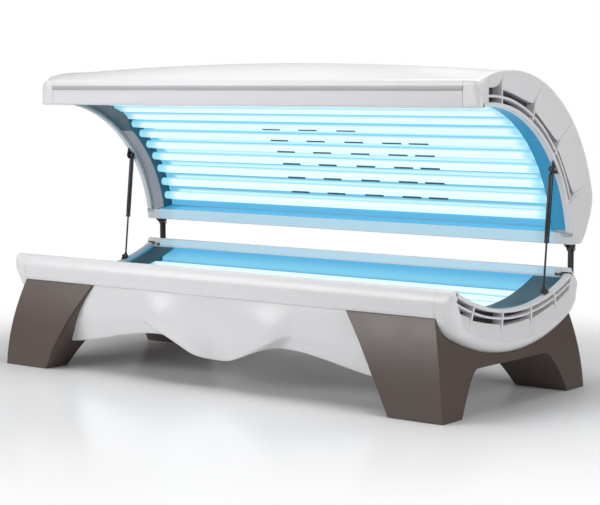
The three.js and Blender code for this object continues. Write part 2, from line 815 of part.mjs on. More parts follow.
function canopyLamps() {
  const radius = canopyArcRadius + stackDepth;
  const step = THREE.MathUtils.radToDeg(lampPitch / radius);
  const first = canopyRearAngle + THREE.MathUtils.radToDeg(canopyLampInset / radius);
  for (let i = 0; i < canopyLampCount; i += 1) {
    lamp(canopy, `canopy_lamp_${lampNumber(i)}`, polar(canopyCentre, radius, first + step * i));
  }
}

// Canopy skin: its roof is crowned along its length between the end caps
function canopyShell() {
  const seam = shoulderAngle - THREE.MathUtils.radToDeg(jointGap / canopyRoofRadius);
  const back = canopyBack();
  back[0].x += jointGap;
  const roof = canopyRoof(seam);
  const path = [...back.slice(0, -1), ...roof];
  const bay = (2 * skinHalf) / crownSteps;
  const stations = Array.from({ length: crownSteps + 1 }, (_, i) => -skinHalf + bay * i);
  return loft(stations, (x) => {
    const along = 1 - (x / skinHalf) ** 2;
    const crowned = path.map((p, i) => {
      const over = (i - back.length + 1) / (roof.length - 1);
      const share = over > 0 ? 1 - (2 * over - 1) ** 4 : 0;
      const outward = p.clone().sub(roofCentre).normalize();
      return p.clone().addScaledVector(outward, canopyCrown * along * share);
    });
    return band(crowned, skinThickness);
  });
}

function canopyFrontRail() {
  const lipEnd = polar(canopyCentre, canopyArcRadius - lipHeight, canopyFrontAngle);
  const tuck = polar(roofCentre, canopyRoofRadius - skinThickness * 2, shoulderAngle);
  const slope = Math.tan(radians(canopyFrontAngle));
  const backZ = tuck.y - skinThickness;
  const back = point(canopyArcY + (backZ - canopyArcZ) / slope, backZ);
  return alongX([...canopyRailFace(), lipEnd, back, tuck], -skinHalf, skinHalf);
}

function canopyStripe() {
  const back = canopyFrontY - jointGap;
  const front = back - stripeThickness;
  const low = rim.y + stripeRise;
  const high = low + stripeHeight;
  const outline = [
    point(back, low),
    point(back, high),
    point(front, high - stripeThickness / 2),
    point(front, low + stripeThickness / 2),
  ];
  return alongX(outline, -skinHalf, skinHalf);
}

function canopyRearRail() {
  const lipEnd = polar(canopyCentre, canopyArcRadius - lipHeight, canopyRearAngle);
  const deep = polar(canopyCentre, canopyArcRadius + ledgeDepth + capWall, canopyRearAngle);
  const outline = [
    point(heel.x, canopyBottom),
    point(canopyBottomRearY, canopyBottom),
    point(canopyBottomRearY, canopyBottom + skinThickness * 2),
    deep,
    lipEnd,
  ];
  return alongX(outline, -skinHalf, skinHalf);
}

function canopyAcrylic() {
  const slack = THREE.MathUtils.radToDeg(jointGap / canopyArcRadius);
  const layer = canopyLayer(0, acrylicThickness, canopyRearAngle + slack, canopyFrontAngle - slack, arcSteps);
  return alongX(layer, -(ledgeEnd - jointGap), ledgeEnd - jointGap);
}

const holderSpan = THREE.MathUtils.radToDeg((capWall + jointGap) / canopyArcRadius);

function canopyReflector() {
  const layer = canopyLayer(
    reflectorDepth,
    reflectorDepth + reflectorThickness,
    canopyRearAngle + holderSpan,
    canopyFrontAngle - holderSpan,
    arcSteps,
  );
  return alongX(layer, -lampHalf, lampHalf);
}

function canopyHolder(side) {
  const from = canopyRearAngle + holderSpan;
  const to = canopyFrontAngle - holderSpan;
  const layer = canopyLayer(ledgeDepth, holderDepth, from, to, arcSteps);
  return alongX(layer, side * holderStart, side * holderEnd);
}

function canopyEndCap(side) {
  const block = alongX(canopyOutline(), side * bodyHalf, side * endHalf);
  const plan = alongZ(roundedPlan(side, canopyFrontY, canopyBackY), 0, canopyTopZ + capWall);
  const ledge = canopyLayer(-lipHeight - overcut, ledgeDepth, canopyRearAngle, canopyFrontAngle, arcSteps);
  const ledgeCut = alongX(ledge, side * (bodyHalf - overcut), side * ledgeEnd);
  const wall = canopyArcRadius + ledgeDepth + capWall;
  const innerFrom = canopyRearAngle + canopyVentMargin / 2;
  const innerTo = canopyFrontAngle - canopyVentMargin / 2;
  const skin = [...canopyBack().slice(heelSteps, -1), ...canopyRoof(shoulderAngle - canopyVentMargin)];
  const hollow = [...sideways(skin, capWall), ...arc(canopyCentre, wall, innerTo, innerFrom, arcSteps)];
  const hollowCut = alongX(hollow, side * (bodyHalf - overcut), side * (endHalf - capEndWall));
  const ventFrom = canopyRearAngle + canopyVentMargin;
  const ventTo = canopyFrontAngle - canopyVentMargin;
  const ventCut = vents(canopyCentre, wall, ventFrom, ventTo, canopyVentBays, side);
  return block.intersect(plan).subtract(ledgeCut).subtract(hollowCut).subtract(ventCut);
}

// Hinge post on the bed, standing on the sloping back of its end cap
function hingePost(side) {
  const face = rearRailFace();
  const low = face[3];
  const high = face[4];
  const run = high.clone().sub(low).normalize();
  const lift = point(run.y, -run.x).multiplyScalar(jointGap);
  const frontY = hinge.x - postDepth / 2;
  const zAt = (y) => low.y + ((y - low.x) * run.y) / run.x;
  const outline = [
    point(low.x + lift.x, low.y + lift.y),
    point(hinge.x + postDepth / 2, low.y),
    ...arc(hinge, postDepth / 2, 0, 180, lugSteps),
    point(frontY, zAt(frontY - lift.x) + lift.y),
  ];
  const x = side * hingeX;
  const hole = barX(pinRadius + pinClearance, x - postWidth, x + postWidth, hinge.x, hinge.y, roundSides);
  return alongX(outline, x - postWidth / 2, x + postWidth / 2).subtract(hole);
}

// Hinge lug under the canopy: a plate with a cheek on each side of the post
function hingeLug(side) {
  const top = canopyBottom - jointGap;
  const radius = postDepth / 2;
  const outline = [
    point(hinge.x - lugReach, top),
    point(hinge.x - lugReach, top - lugPlate),
    ...arc(hinge, radius, 180, 360, lugSteps),
    point(hinge.x + radius, top),
  ];
  const x = side * hingeX;
  const half = postWidth / 2 + jointGap + lugCheek;
  const slotHalf = postWidth / 2 + jointGap;
  const slotReach = lugReach + postDepth;
  const slot = [
    point(hinge.x - slotReach, hinge.y - radius - overcut),
    point(hinge.x + slotReach, hinge.y - radius - overcut),
    point(hinge.x + slotReach, top - lugPlate),
    point(hinge.x - slotReach, top - lugPlate),
  ];
  const past = half + overcut;
  const hole = barX(pinRadius + pinClearance, x - past, x + past, hinge.x, hinge.y, roundSides);
  const slotCut = alongX(slot, x - slotHalf, x + slotHalf);
  return alongX(outline, x - half, x + half).subtract(slotCut).subtract(hole);
}

function hingePin(side) {
  const half = postWidth / 2 + jointGap * 2 + lugCheek;
  const pin = turned([
    [0, -half - pinHeadLength],
    [pinHeadRadius, -half - pinHeadLength],
    [pinHeadRadius, -half],
    [pinRadius, -half],
    [pinRadius, half],
    [pinHeadRadius, half],
    [pinHeadRadius, half + pinHeadLength],
    [0, half + pinHeadLength],
  ], roundSides);
  const mesh = add(base, `hinge_pin_${side < 0 ? 'left' : 'right'}`, pin, brightSteel);
  mesh.rotation.y = Math.PI / 2;
  mesh.position.set(side * hingeX, hinge.x, hinge.y);
}

// A tab on the lip, outside the gas spring, with the stud that the spring's eye turns on
function strutTab(side, pivot, centre, lipRadius) {
  const outward = pivot.clone().sub(centre).normalize();
  const along = point(-outward.y, outward.x);
  const heading = THREE.MathUtils.radToDeg(outward.angle());
  const spread = THREE.MathUtils.radToDeg(tabSpread / lipRadius);
  const nose = Array.from({ length: noseSteps + 1 }, (_, i) => {
    const turn = -Math.PI / 2 + (Math.PI * i) / noseSteps;
    const step = outward.clone().multiplyScalar(-Math.cos(turn));
    return pivot.clone().addScaledVector(step.addScaledVector(along, -Math.sin(turn)), eyeRadius);
  });
  const foot = arc(centre, lipRadius - jointGap - lipSagitta, heading - spread, heading + spread, noseSteps);
  const inner = strutX + eyeLength / 2 + jointGap;
  const plate = alongX([...foot, ...nose], side * inner, side * (inner + tabThickness));
  const tip = strutX - eyeLength / 2;
  const stud = barX(studRadius, side * tip, side * (inner + overcut), pivot.x, pivot.y, roundSides);
  return plate.add(stud);
}

// Gas spring cylinder, from its eye on the canopy down to its open end
function springCylinder() {
  const tube = turned([
    [0, -cylinderHead - cylinderHeadWall],
    [cylinderBore, -cylinderHead - cylinderHeadWall],
    [cylinderBore, -cylinderLength],
    [cylinderRadius, -cylinderLength],
    [cylinderRadius, -cylinderHead],
    [cylinderNeck, -cylinderHead + cylinderNeck],
    [cylinderNeck, -eyeStem],
    [0, -eyeStem],
  ], roundSides);
  const eye = barX(eyeRadius, -eyeLength / 2, eyeLength / 2, 0, 0, roundSides);
  const hole = barX(studRadius + pinClearance, -eyeLength, eyeLength, 0, 0, roundSides);
  return tube.add(eye).subtract(hole);
}

// Gas spring rod, from its eye on the bed up into the cylinder
function springRod() {
  const length = closedLength - cylinderHead - rodEndRoom;
  const bar = turned([[0, eyeStem], [rodRadius, eyeStem], [rodRadius, length], [0, length]], roundSides);
  const eye = barX(eyeRadius, -eyeLength / 2, eyeLength / 2, 0, 0, roundSides);
  const hole = barX(studRadius + pinClearance, -eyeLength, eyeLength, 0, 0, roundSides);
  return bar.add(eye).subtract(hole);
}

function placeStrut(mesh, side, pivot) {
  mesh.position.set(side * strutX, pivot.x, pivot.y);
  mesh.rotation.x = strutTilt;
}

// The assembly
add(base, 'bed_shell', bedShell(), whiteShell);
add(base, 'bed_front_rail', bedFrontRail(), whiteShell);
add(base, 'bed_rear_rail', bedRearRail(), whiteShell);
add(base, 'front_skirt', frontSkirt(), whiteShell);
add(base, 'bed_acrylic', bedAcrylic(), clearAcrylic);
add(base, 'bed_reflector', bedReflector(), reflectorSheet);
add(base, 'gear_tray', gearTray(), gearSteel);
add(base, 'fan_rotor', fanRotor(), fanPlastic);
bedLamps();

add(canopy, 'canopy_shell', canopyShell(), whiteShell);
add(canopy, 'canopy_front_rail', canopyFrontRail(), whiteShell);
add(canopy, 'canopy_rear_rail', canopyRearRail(), whiteShell);
add(canopy, 'canopy_stripe', canopyStripe(), greyTrim);
add(canopy, 'canopy_acrylic', canopyAcrylic(), clearAcrylic);
add(canopy, 'canopy_reflector', canopyReflector(), reflectorSheet);
canopyLamps();

for (const [label, side] of sides) {
  add(base, `pedestal_${label}`, pedestal(side), taupePaint);
  add(base, `bed_end_cap_${label}`, bedEndCap(side), whiteShell);
  add(base, `bed_lampholder_${label}`, bedHolder(side), darkPanel);
  add(base, `hinge_post_${label}`, hingePost(side), blackSteel);
  hingePin(side);
  const bedLip = bedArcRadius - lipHeight;
  add(base, `strut_foot_${label}`, strutTab(side, strutFoot, bedArcCentre, bedLip), blackSteel);
  add(canopy, `canopy_end_cap_${label}`, canopyEndCap(side), whiteShell);
  add(canopy, `canopy_lampholder_${label}`, canopyHolder(side), darkPanel);
  add(canopy, `hinge_lug_${label}`, hingeLug(side), blackSteel);
  const canopyLip = canopyArcRadius - lipHeight;
  add(canopy, `strut_tab_${label}`, strutTab(side, strutTop, canopyCentre, canopyLip), blackSteel);
  placeStrut(add(canopy, `gas_spring_cylinder_${label}`, springCylinder(), blackSteel), side, strutTop);
  placeStrut(add(base, `gas_spring_rod_${label}`, springRod(), brightSteel), side, strutFoot);
}

// The origin is on the floor, under the middle of the whole bed
const extent = new THREE.Box3().setFromObject(bed);
const middle = extent.getCenter(new THREE.Vector3());
bed.position.set(-middle.x, -middle.y, -extent.min.z);

export default bed;
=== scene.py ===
"""Clamshell tanning bed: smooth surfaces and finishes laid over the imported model."""

import math

import bmesh
import bpy
import numpy as np
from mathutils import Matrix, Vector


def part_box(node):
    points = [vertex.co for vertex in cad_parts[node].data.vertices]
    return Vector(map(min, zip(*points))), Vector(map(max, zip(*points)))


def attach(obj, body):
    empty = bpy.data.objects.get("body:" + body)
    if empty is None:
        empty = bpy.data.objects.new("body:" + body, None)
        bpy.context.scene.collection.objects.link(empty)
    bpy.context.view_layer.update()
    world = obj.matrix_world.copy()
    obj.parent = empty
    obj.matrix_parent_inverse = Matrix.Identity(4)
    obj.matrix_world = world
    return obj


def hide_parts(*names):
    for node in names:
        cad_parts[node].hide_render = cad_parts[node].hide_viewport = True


bl_info = {
    "name": "Clamshell Tanning Bed",
    "version": (1, 0, 0),
    "blender": (4, 5, 0),
    "location": "3D View > Sidebar > Tanning Bed",
    "description": "Dresses the packed tanning bed with smooth mouldings, lit lamps and a studio",
    "category": "Object",
}

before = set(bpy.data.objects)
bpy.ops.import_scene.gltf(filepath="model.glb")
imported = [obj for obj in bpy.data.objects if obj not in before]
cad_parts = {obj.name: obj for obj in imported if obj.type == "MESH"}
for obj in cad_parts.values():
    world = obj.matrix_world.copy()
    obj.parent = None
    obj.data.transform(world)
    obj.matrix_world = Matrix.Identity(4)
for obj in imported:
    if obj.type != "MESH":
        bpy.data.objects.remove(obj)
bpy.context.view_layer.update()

# The working frame is in millimetres, with y = 0 midway between the feet.
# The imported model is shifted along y, and the front rail shows by how much.
MM = 1000.0
GAP = 0.3
FRONT_Y = -462.0
SHIFT_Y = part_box("bed_front_rail")[0][1] * MM - FRONT_Y
END_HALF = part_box("bed_end_cap_right")[1][0] * MM
BODY_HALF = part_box("bed_end_cap_right")[0][0] * MM
SKIN_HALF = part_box("bed_front_rail")[1][0] * MM
LEDGE_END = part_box("bed_acrylic")[1][0] * MM + GAP
LAMP_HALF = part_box("bed_lamp_01")[1][0] * MM
SIDES = (("left", -1.0), ("right", 1.0))
STATIONS = np.linspace(-SKIN_HALF, SKIN_HALF, 9)
SHELL_SLOT = "white_shell"

# Bed: its clear sheet's upper face and its belly are arcs, and its rails stand on both sides
BED_CENTRE = np.array([-15.0, 1291.0])
BED_RADIUS = 930.0
BED_FRONT, BED_REAR = -420.0, 390.0
BELLY_CENTRE = np.array([-1.5, 1115.0])
BELLY_RADIUS = 915.0
BELLY_CORNER, BELLY_LEAD = 58.0, 4.0
BELLY_FRONT, BELLY_INSET = BED_FRONT - 4.0, 8.0
FRONT_RAIL_BOTTOM, FRONT_RAIL_TOP, FRONT_RAIL_DEPTH = 366.8, 472.8, 42.0
REAR_RAIL_BOTTOM, REAR_RAIL_TOP, REAR_RAIL_DEPTH = 371.8, 485.8, 69.0
FRONT_CREST_DROP, REAR_CREST_DROP = 2.0, 3.0
SKIN = 4.0
LIP = 8.0
EDGE_ROUND, HEEL_ROUND, LEG_ROUND, STRIPE_ROUND = 1.2, 3.0, 5.0, 1.3

# Legs: a face's x at the top, its splay at the floor and its bow
LEG_TOP = FRONT_RAIL_BOTTOM - GAP
LEG_INNER = (658.0, 230.0, 17.0)
LEG_OUTER = (1055.0, 72.0, 11.0)
LEG_REACH, LEG_BOW, LEG_LAP = 509.0, 14.0, 3.0
LEG_ARCH = ((380.0, 0.0), (308.0, 141.0), (250.0, 166.0))
SEAT_GAP = 0.6

# Skirt: heights of its lower edge, the arch's place, and the line and spread of its folds
SKIRT_GAP, SKIRT_SET, SKIRT_WALL = 0.8, 6.0, 3.5
SKIRT_BULGE, SKIRT_BULGE_RUN, SKIRT_TUCK = 9.0, 0.8, 34.0
SKIRT_MIDDLE, SKIRT_END, SKIRT_ARCH = 109.0, 112.0, 187.0
SKIRT_ARCH_X, SKIRT_ARCH_RUN = 345.0, 543.0
FOLD_HIGH, FOLD_LOW = np.array([395.0, 260.0]), np.array([70.0, 108.0])
FOLD_ABOVE, FOLD_BELOW = 85.0, 16.0
FOLD_START, FOLD_MIDDLE = (-30.0, 120.0), (0.0, 120.0)

# Canopy: its clear sheet and its roof are arcs, with a front rail and a heel at their ends
CANOPY_CENTRE = np.array([-204.0, 522.0])
CANOPY_RADIUS = 607.0
CANOPY_ANGLES = (9.6, 95.0)
ROOF_CENTRE = np.array([-70.0, 612.0])
ROOF_RADIUS = 642.0
ROOF_START = 14.0
SEAM_ANGLE, REFLECTOR_ANGLE = 0.03, 0.5
RAIL_REACH, RAIL_DROP, RAIL_CORNER = 30.0, 13.0, 13.0
RAIL_SHOULDER, RAIL_RISE = 18.0, 69.0
RAIL_TUCK, TUCK_DROP = 8.0, 4.0
HEEL_DEPTH, HEEL_DROP, HEEL_WALL, HEEL_SEAT = 61.0, 47.0, 8.0, 10.3
BACK_FLAT, BACK_LEAD, ROOF_LEAD = 6.0, 24.0, 60.0

# Lamps and what lies behind the clear sheets
ACRYLIC = 5.0
STACK = 38.0
LAMP_RADIUS, LAMP_CAP_RADIUS, LAMP_PITCH = 19.0, 17.6, 68.0
BED_LAMPS, CANOPY_LAMPS, LAMP_INSET = 10, 12, 60.0
BED_LAMP_ARC, CANOPY_LAMP_ARC = BED_RADIUS + STACK, CANOPY_RADIUS + STACK
BED_STEP = math.degrees(LAMP_PITCH / BED_LAMP_ARC)
CANOPY_STEP = math.degrees(LAMP_PITCH / CANOPY_LAMP_ARC)
CANOPY_FIRST = CANOPY_ANGLES[0] + math.degrees(LAMP_INSET / CANOPY_LAMP_ARC)
REFLECTOR_DEPTH = STACK + LAMP_RADIUS + 5.0
REFLECTOR_BACK = REFLECTOR_DEPTH + 2.0
PANEL_DEPTH = ACRYLIC + GAP
PANEL_BACK = PANEL_DEPTH + 3.0
HOLDER_BACK = STACK + LAMP_RADIUS + 12.0
PANEL_LENGTH, HOLDER_LENGTH, STRIP_LENGTH = 93.0, 22.0, 17.0
FILM_NEAR, FILM_FAR = 0.1, 0.25
SLOT_ROWS = (20.3, 26.8, 33.4, 39.6, 45.9, 52.8)
SLOT_X = (-200.0, -5.0, 195.0, 387.0, 519.0)
SLOT_HALF, SLOT_TURN, TOP_ROW_SLOTS = 48.0, 0.42, 3

# Films at the canopy's ends: the angles of each, and its finish with how much wider it grows. The right end's
# films glow with painted lamplight, and the left end's take plain colours.
CANOPY_END_ANGLES = {"upper": (50.0, 94.6), "lower": (10.2, 49.9)}
CANOPY_END_LOOKS = {
    ("left", "upper"): ("slate_panel", 70.0),
    ("left", "lower"): ("lilac_trim", 0.0),
    ("right", "upper"): ("blue_band_lamplight", 0.0),
    ("right", "lower"): ("blue_band_lamplight", 0.0),
}
CANOPY_END_LAP, CANOPY_END_EASE = 20.0, 14.0

# Films of painted lamplight on the rear: distances below the sheet's edge on the bed, and out from the
# canopy's sheet
BED_LEDGE_FILM, CANOPY_LEDGE_FILM = (72.0, 8.0), (0.5, 68.0)
BED_FILM_DROP, CANOPY_FILM_SHORT = 4.5, 3.0

# Gas springs: pivots in (y, z), and both springs' distance from the middle
STRUT_TOP = np.array([263.34, 878.02])
STRUT_FOOT = np.array([214.51, 409.9])
STRUT_X = 1108.0
TAB_FOOT, TAB_NOSE, TAB_SWEEP = 34.0, 19.0, (105.0, 255.0)
STUD_RADIUS, BOLT_RADIUS = 5.0, 7.0
EYE_LOW, EYE_HIGH, EYE_ROUND = (5.4, -8.0), (10.0, 8.0), 1.5

# Studio: the camera's numbers come from the photograph, with its focal length in its pixels
AMBIENT = 0.17
FLOOR_REACH, FLOOR_FADE = 40000.0, (1.1, 2.6)
PHOTO_WIDTH, FOCAL_PIXELS, SENSOR = 600.0, 1738.9, 36.0
CAMERA_PLACE, CAMERA_DIP, CAMERA_TURN = (4471.4, -5595.1, 1195.7), 5.477, 38.089


# Outlines: arrays of (y, z) points


def arc(centre, radius, start, end, count):
    """Points at equal angles, in degrees, on a circle about a centre."""
    angle = np.radians(np.linspace(start, end, count))
    return np.stack([centre[0] + radius * np.cos(angle), centre[1] + radius * np.sin(angle)], axis=1)


def spot(centre, radius, angle):
    """Point at an angle, in degrees, on a circle about a centre."""
    return arc(centre, radius, angle, angle, 1)[0]


def straight(start, end, count):
    """Points at equal distances on a straight line."""
    share = np.linspace(0.0, 1.0, count)[:, None]
    return np.array(start) * (1.0 - share) + np.array(end) * share


def bezier(controls, count):
    """Bernstein sum of three or four control points at equal parameters."""
    t = np.linspace(0.0, 1.0, count)[:, None]
    controls = np.asarray(controls, dtype=float)
    degree = len(controls) - 1
    weights = [math.comb(degree, k) * t**k * (1.0 - t) ** (degree - k) for k in range(degree + 1)]
    return sum(w * p for w, p in zip(weights, controls))


def smooth(points, steps):
    """Catmull-Rom curve through the points, with its end tangents carried on straight."""
    p = np.asarray(points, dtype=float)
    p = np.vstack([2 * p[0] - p[1], p, 2 * p[-1] - p[-2]])
    a, b, c, d = p[:-3, None], p[1:-2, None], p[2:-1, None], p[3:, None]
    t = (np.arange(steps) / steps)[None, :, None]
    curve = 0.5 * (2 * b + (c - a) * t + (2 * a - 5 * b + 4 * c - d) * t**2 + (3 * b - a - 3 * c + d) * t**3)
    return np.vstack([curve.reshape(-1, 2), p[-2]])


def even(path, count):
    """The same path with its points at equal distances along it."""
    step = np.concatenate([[0.0], np.cumsum(np.hypot(*np.diff(path, axis=0).T))])
    along = np.linspace(0.0, step[-1], count)
    return np.stack([np.interp(along, step, path[:, 0]), np.interp(along, step, path[:, 1])], axis=1)


def left_of(path, distance):
    """Each point moved to the left of the path by a distance, along the local normal."""
    tangent = np.gradient(path, axis=0)
    tangent /= np.hypot(tangent[:, 0], tangent[:, 1])[:, None]
    return path + distance * np.stack([-tangent[:, 1], tangent[:, 0]], axis=1)


def ease(value, low, high):
    """Smooth step from 0 at low to 1 at high."""
    t = np.clip((value - low) / (high - low), 0.0, 1.0)
    return t * t * (3.0 - 2.0 * t)


def eased(value, amount, low, high):
    """Smooth step from 0 at low to an amount at high."""
    return amount * ease(value, low, high)


def dip_angle(centre, radius, y):
    """Angle, in degrees, of the point at a y on the lower half of a circle."""
    return math.degrees(math.asin((y - centre[0]) / radius)) - 90.0


def lower_arc(centre, radius, start_y, end_y, count):
    """Arc round the bottom of a circle, between two y values."""
    return arc(centre, radius, dip_angle(centre, radius, start_y), dip_angle(centre, radius, end_y), count)


def bed_arc(depth, start_y, end_y, count=60):
    """Arc under the bed's clear sheet, between two y values, at a depth below its upper face."""
    return lower_arc(BED_CENTRE, BED_RADIUS + depth, start_y, end_y, count)


def bed_layer(inner, outer, slack):
    """Closed outline between two depths under the bed's clear sheet, short of its edges by a slack."""
    front, rear = BED_FRONT + slack, BED_REAR - slack
    return np.vstack([bed_arc(outer, front, rear), bed_arc(inner, rear, front)])


def canopy_band(inner, outer, low, high, count=60):
    """Closed outline between two depths behind the canopy's clear sheet and between two angles."""
    out = arc(CANOPY_CENTRE, CANOPY_RADIUS + outer, low, high, count)
    return np.vstack([out, arc(CANOPY_CENTRE, CANOPY_RADIUS + inner, high, low, count)])


def canopy_layer(inner, outer, slack):
    """Closed outline between two depths behind the canopy's clear sheet, some degrees short of its edges."""
    return canopy_band(inner, outer, CANOPY_ANGLES[0] + slack, CANOPY_ANGLES[1] - slack)


def rail_face(edge, depth, bottom, top, marks):
    """Smooth curve through marks, given as shares of a bed rail's depth and height."""
    share = np.array(marks)
    return smooth(np.stack([edge + depth * share[:, 0], bottom + (top - bottom) * share[:, 1]], axis=1), 6)


def front_rail_face():
    """Bed front rail's show face from its crest down."""
    marks = [(0.1, 0.985), (0.24, 1.0), (0.5, 0.965), (0.76, 0.83)]
    marks += [(0.95, 0.63), (1.0, 0.4), (0.95, 0.17), (0.77, 0.0)]
    return rail_face(BED_FRONT, -FRONT_RAIL_DEPTH, FRONT_RAIL_BOTTOM, FRONT_RAIL_TOP, marks)


def rear_rail_face():
    """Bed rear rail's back face from its lower edge up."""
    marks = [(0.9, 0.0), (0.98, 0.12), (1.0, 0.26), (0.95, 0.38)]
    marks += [(0.72, 0.53), (0.3, 0.83), (0.15, 0.98), (0.06, 1.0)]
    return rail_face(BED_REAR, REAR_RAIL_DEPTH, REAR_RAIL_BOTTOM, REAR_RAIL_TOP, marks)


def belly_path(front, rear):
    """Belly from a front point round the arc to a rear point, with a Bezier at each corner."""
    start_y, end_y = front[0] + BELLY_CORNER, rear[0] - BELLY_CORNER
    bottom = lower_arc(BELLY_CENTRE, BELLY_RADIUS, start_y, end_y, 60)
    slope = (start_y - BELLY_CENTRE[0]) / (BELLY_CENTRE[1] - bottom[0, 1])
    front_y, rear_y = front[0] + BELLY_LEAD, rear[0] - BELLY_LEAD
    front_control = [front_y, bottom[0, 1] + slope * (front_y - start_y)]
    rear_control = [rear_y, bottom[-1, 1] - slope * (rear_y - end_y)]
    front_corner = bezier([front, front_control, bottom[0]], 12)
    rear_corner = bezier([bottom[-1], rear_control, rear], 12)
    return np.vstack([front_corner[:-1], bottom, rear_corner[1:]])


def canopy_rail_face():
    """Canopy front rail's show face, from its shoulder on the roof down to its lower edge."""
    rim = spot(CANOPY_CENTRE, CANOPY_RADIUS, CANOPY_ANGLES[1])
    front, bottom = rim[0] - RAIL_REACH, rim[1] - RAIL_DROP
    shoulder_y = front + RAIL_SHOULDER
    shoulder_z = ROOF_CENTRE[1] + math.sqrt(ROOF_RADIUS**2 - (shoulder_y - ROOF_CENTRE[0]) ** 2)
    upper = bezier([[shoulder_y, shoulder_z], [front, shoulder_z], [front, rim[1] + RAIL_RISE]], 12)
    lower = bezier([[front, bottom + RAIL_CORNER], [front, bottom], [front + RAIL_CORNER, bottom]], 8)
    return np.vstack([upper, lower])


def canopy_back():
    """Canopy's back from its flat bottom edge up to where the roof's arc begins."""
    heel = spot(CANOPY_CENTRE, CANOPY_RADIUS, CANOPY_ANGLES[0])
    start = heel + [HEEL_DEPTH, -HEEL_DROP]
    upper = spot(ROOF_CENTRE, ROOF_RADIUS, ROOF_START)
    turn = math.radians(ROOF_START)
    handle = ROOF_LEAD * np.array([math.sin(turn), -math.cos(turn)])
    flat = start + [BACK_FLAT, 0.0]
    rise = bezier([flat, flat + [BACK_LEAD, 0.0], upper + handle, upper], 22)
    return np.vstack([[heel[0], start[1]], start, rise])


def roof_angle():
    """Angle about the roof's centre at which the front rail's shoulder lies."""
    shoulder = canopy_rail_face()[0] - ROOF_CENTRE
    return math.degrees(math.atan2(shoulder[1], shoulder[0]))


def bow(z, amount):
    """Outward bow of a leg: a parabola over its height."""
    share = np.clip(z / LEG_TOP, 0.0, 1.0)
    return amount * 4.0 * share * (1.0 - share)


def leg_face(z, top_x, splay, bowed):
    """x of a leg's face at a height: its x at the top, an even splay down to the floor and a bow."""
    return top_x + splay * (1.0 - z / LEG_TOP) + bow(z, bowed)


def rounded_box(low, high, radius, steps=4):
    """Closed (a, b) rectangle with quarter-circle corners."""
    left, right = low[0] + radius, high[0] - radius
    bottom, top = low[1] + radius, high[1] - radius
    corners = ((right, top), (left, top), (left, bottom), (right, bottom))
    return np.vstack([arc(corner, radius, 90 * k, 90 * k + 90, steps) for k, corner in enumerate(corners)])


# Meshes


def to_frame(points):
    """Working-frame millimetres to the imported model's metres."""
    return (np.asarray(points, dtype=float) + [0.0, SHIFT_Y, 0.0]) / MM


def grid_of(x, y, z):
    """Grid of points from coordinates that are spread over its rows and columns."""
    return np.stack(np.broadcast_arrays(x, y, z), axis=-1)


def along_x(outline, stations):
    """Grid that carries a (y, z) outline along x: one row for each station."""
    return grid_of(np.asarray(stations)[:, None], *outline.T[:, None])


def ring_sweep(centre, angles, section, side, count=64):
    """Grid that sweeps a closed (radius, x) section about a centre through a range of angles."""
    radius, x = np.asarray(section, dtype=float).T[:, None]
    turn = np.radians(np.linspace(angles[0], angles[1], count)[:, None])
    return grid_of(side * x, centre[0] + radius * np.cos(turn), centre[1] + radius * np.sin(turn))


def grid_faces(rows, columns, close_rows=False, close_columns=False, ends=False, start=0):
    """Quads between neighbours of a grid, with its end rows closed as single faces if asked."""
    i = np.arange(rows if close_rows else rows - 1)[:, None]
    j = np.arange(columns if close_columns else columns - 1)[None, :]
    here, after = i * columns, (i + 1) % rows * columns
    after_j = (j + 1) % columns
    quads = np.stack([here + j, here + after_j, after + after_j, after + j], axis=-1)
    faces = (quads.reshape(-1, 4) + start).tolist()
    if ends:
        faces.append((np.arange(columns)[::-1] + start).tolist())
        faces.append((np.arange(columns) + (rows - 1) * columns + start).tolist())
    return faces


def closed(*grids):
    """Parts whose grids are closed round their columns and at both ends."""
    return [(grid, {"close_columns": True, "ends": True}) for grid in grids]


def make(name, parts, sharp=32.0):
    """One object from (grid, options) parts, with its faces turned outwards and smooth up to an angle."""
    points, faces = [], []
    for grid, options in parts:
        count = sum(len(p) for p in points)
        points.append(to_frame(grid.reshape(-1, 3)))
        faces += grid_faces(grid.shape[0], grid.shape[1], start=count, **options)
    mesh = bpy.data.meshes.new(name)
    mesh.from_pydata(np.vstack(points).tolist(), [], faces)
    work = bmesh.new()
    work.from_mesh(mesh)
    bmesh.ops.remove_doubles(work, verts=work.verts, dist=1e-6)
    bmesh.ops.dissolve_degenerate(work, edges=work.edges, dist=1e-7)
    bmesh.ops.recalc_face_normals(work, faces=work.faces)
    work.to_mesh(mesh)
    work.free()
    mesh.shade_smooth()
    mesh.set_sharp_from_angle(angle=math.radians(sharp))
    piece = bpy.data.objects.new(name, mesh)
    bpy.context.collection.objects.link(piece)
    return piece


def carried(name, outline, stations=STATIONS):
    """One object from a closed (y, z) outline carried along x."""
    return make(name, closed(along_x(outline, stations)))


def points_of(piece):
    """A piece's points, in the model's metres."""
    place = np.empty(len(piece.data.vertices) * 3)
    piece.data.vertices.foreach_get("co", place)
    return place.reshape(-1, 3)


def offset_from(centre, piece):
    """Offsets in y and z, in millimetres, of a piece's points from a centre."""
    place = points_of(piece)
    return place[:, 1] * MM - SHIFT_Y - centre[0], place[:, 2] * MM - centre[1]


def lay_sheet(piece, across):
    """Gives a piece the UV map that its finish reads: u is x, and v is a value for each point."""
    mesh = piece.data
    layer = mesh.uv_layers.new(name="sheet")
    corners = np.empty(len(mesh.loops), dtype=np.int32)
    mesh.loops.foreach_get("vertex_index", corners)
    flat = np.stack([points_of(piece)[:, 0], across], axis=1)
    layer.uv.foreach_set("vector", flat[corners].astype(np.float32).ravel())


def dress(piece, look, body, slot, *nodes):
    """Gives a piece its finish and body, and the model's nodes that it stands for."""
    piece.data.materials.clear()
    piece.data.materials.append(finish(look))
    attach(piece, body)
    if nodes:
        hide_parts(*nodes)


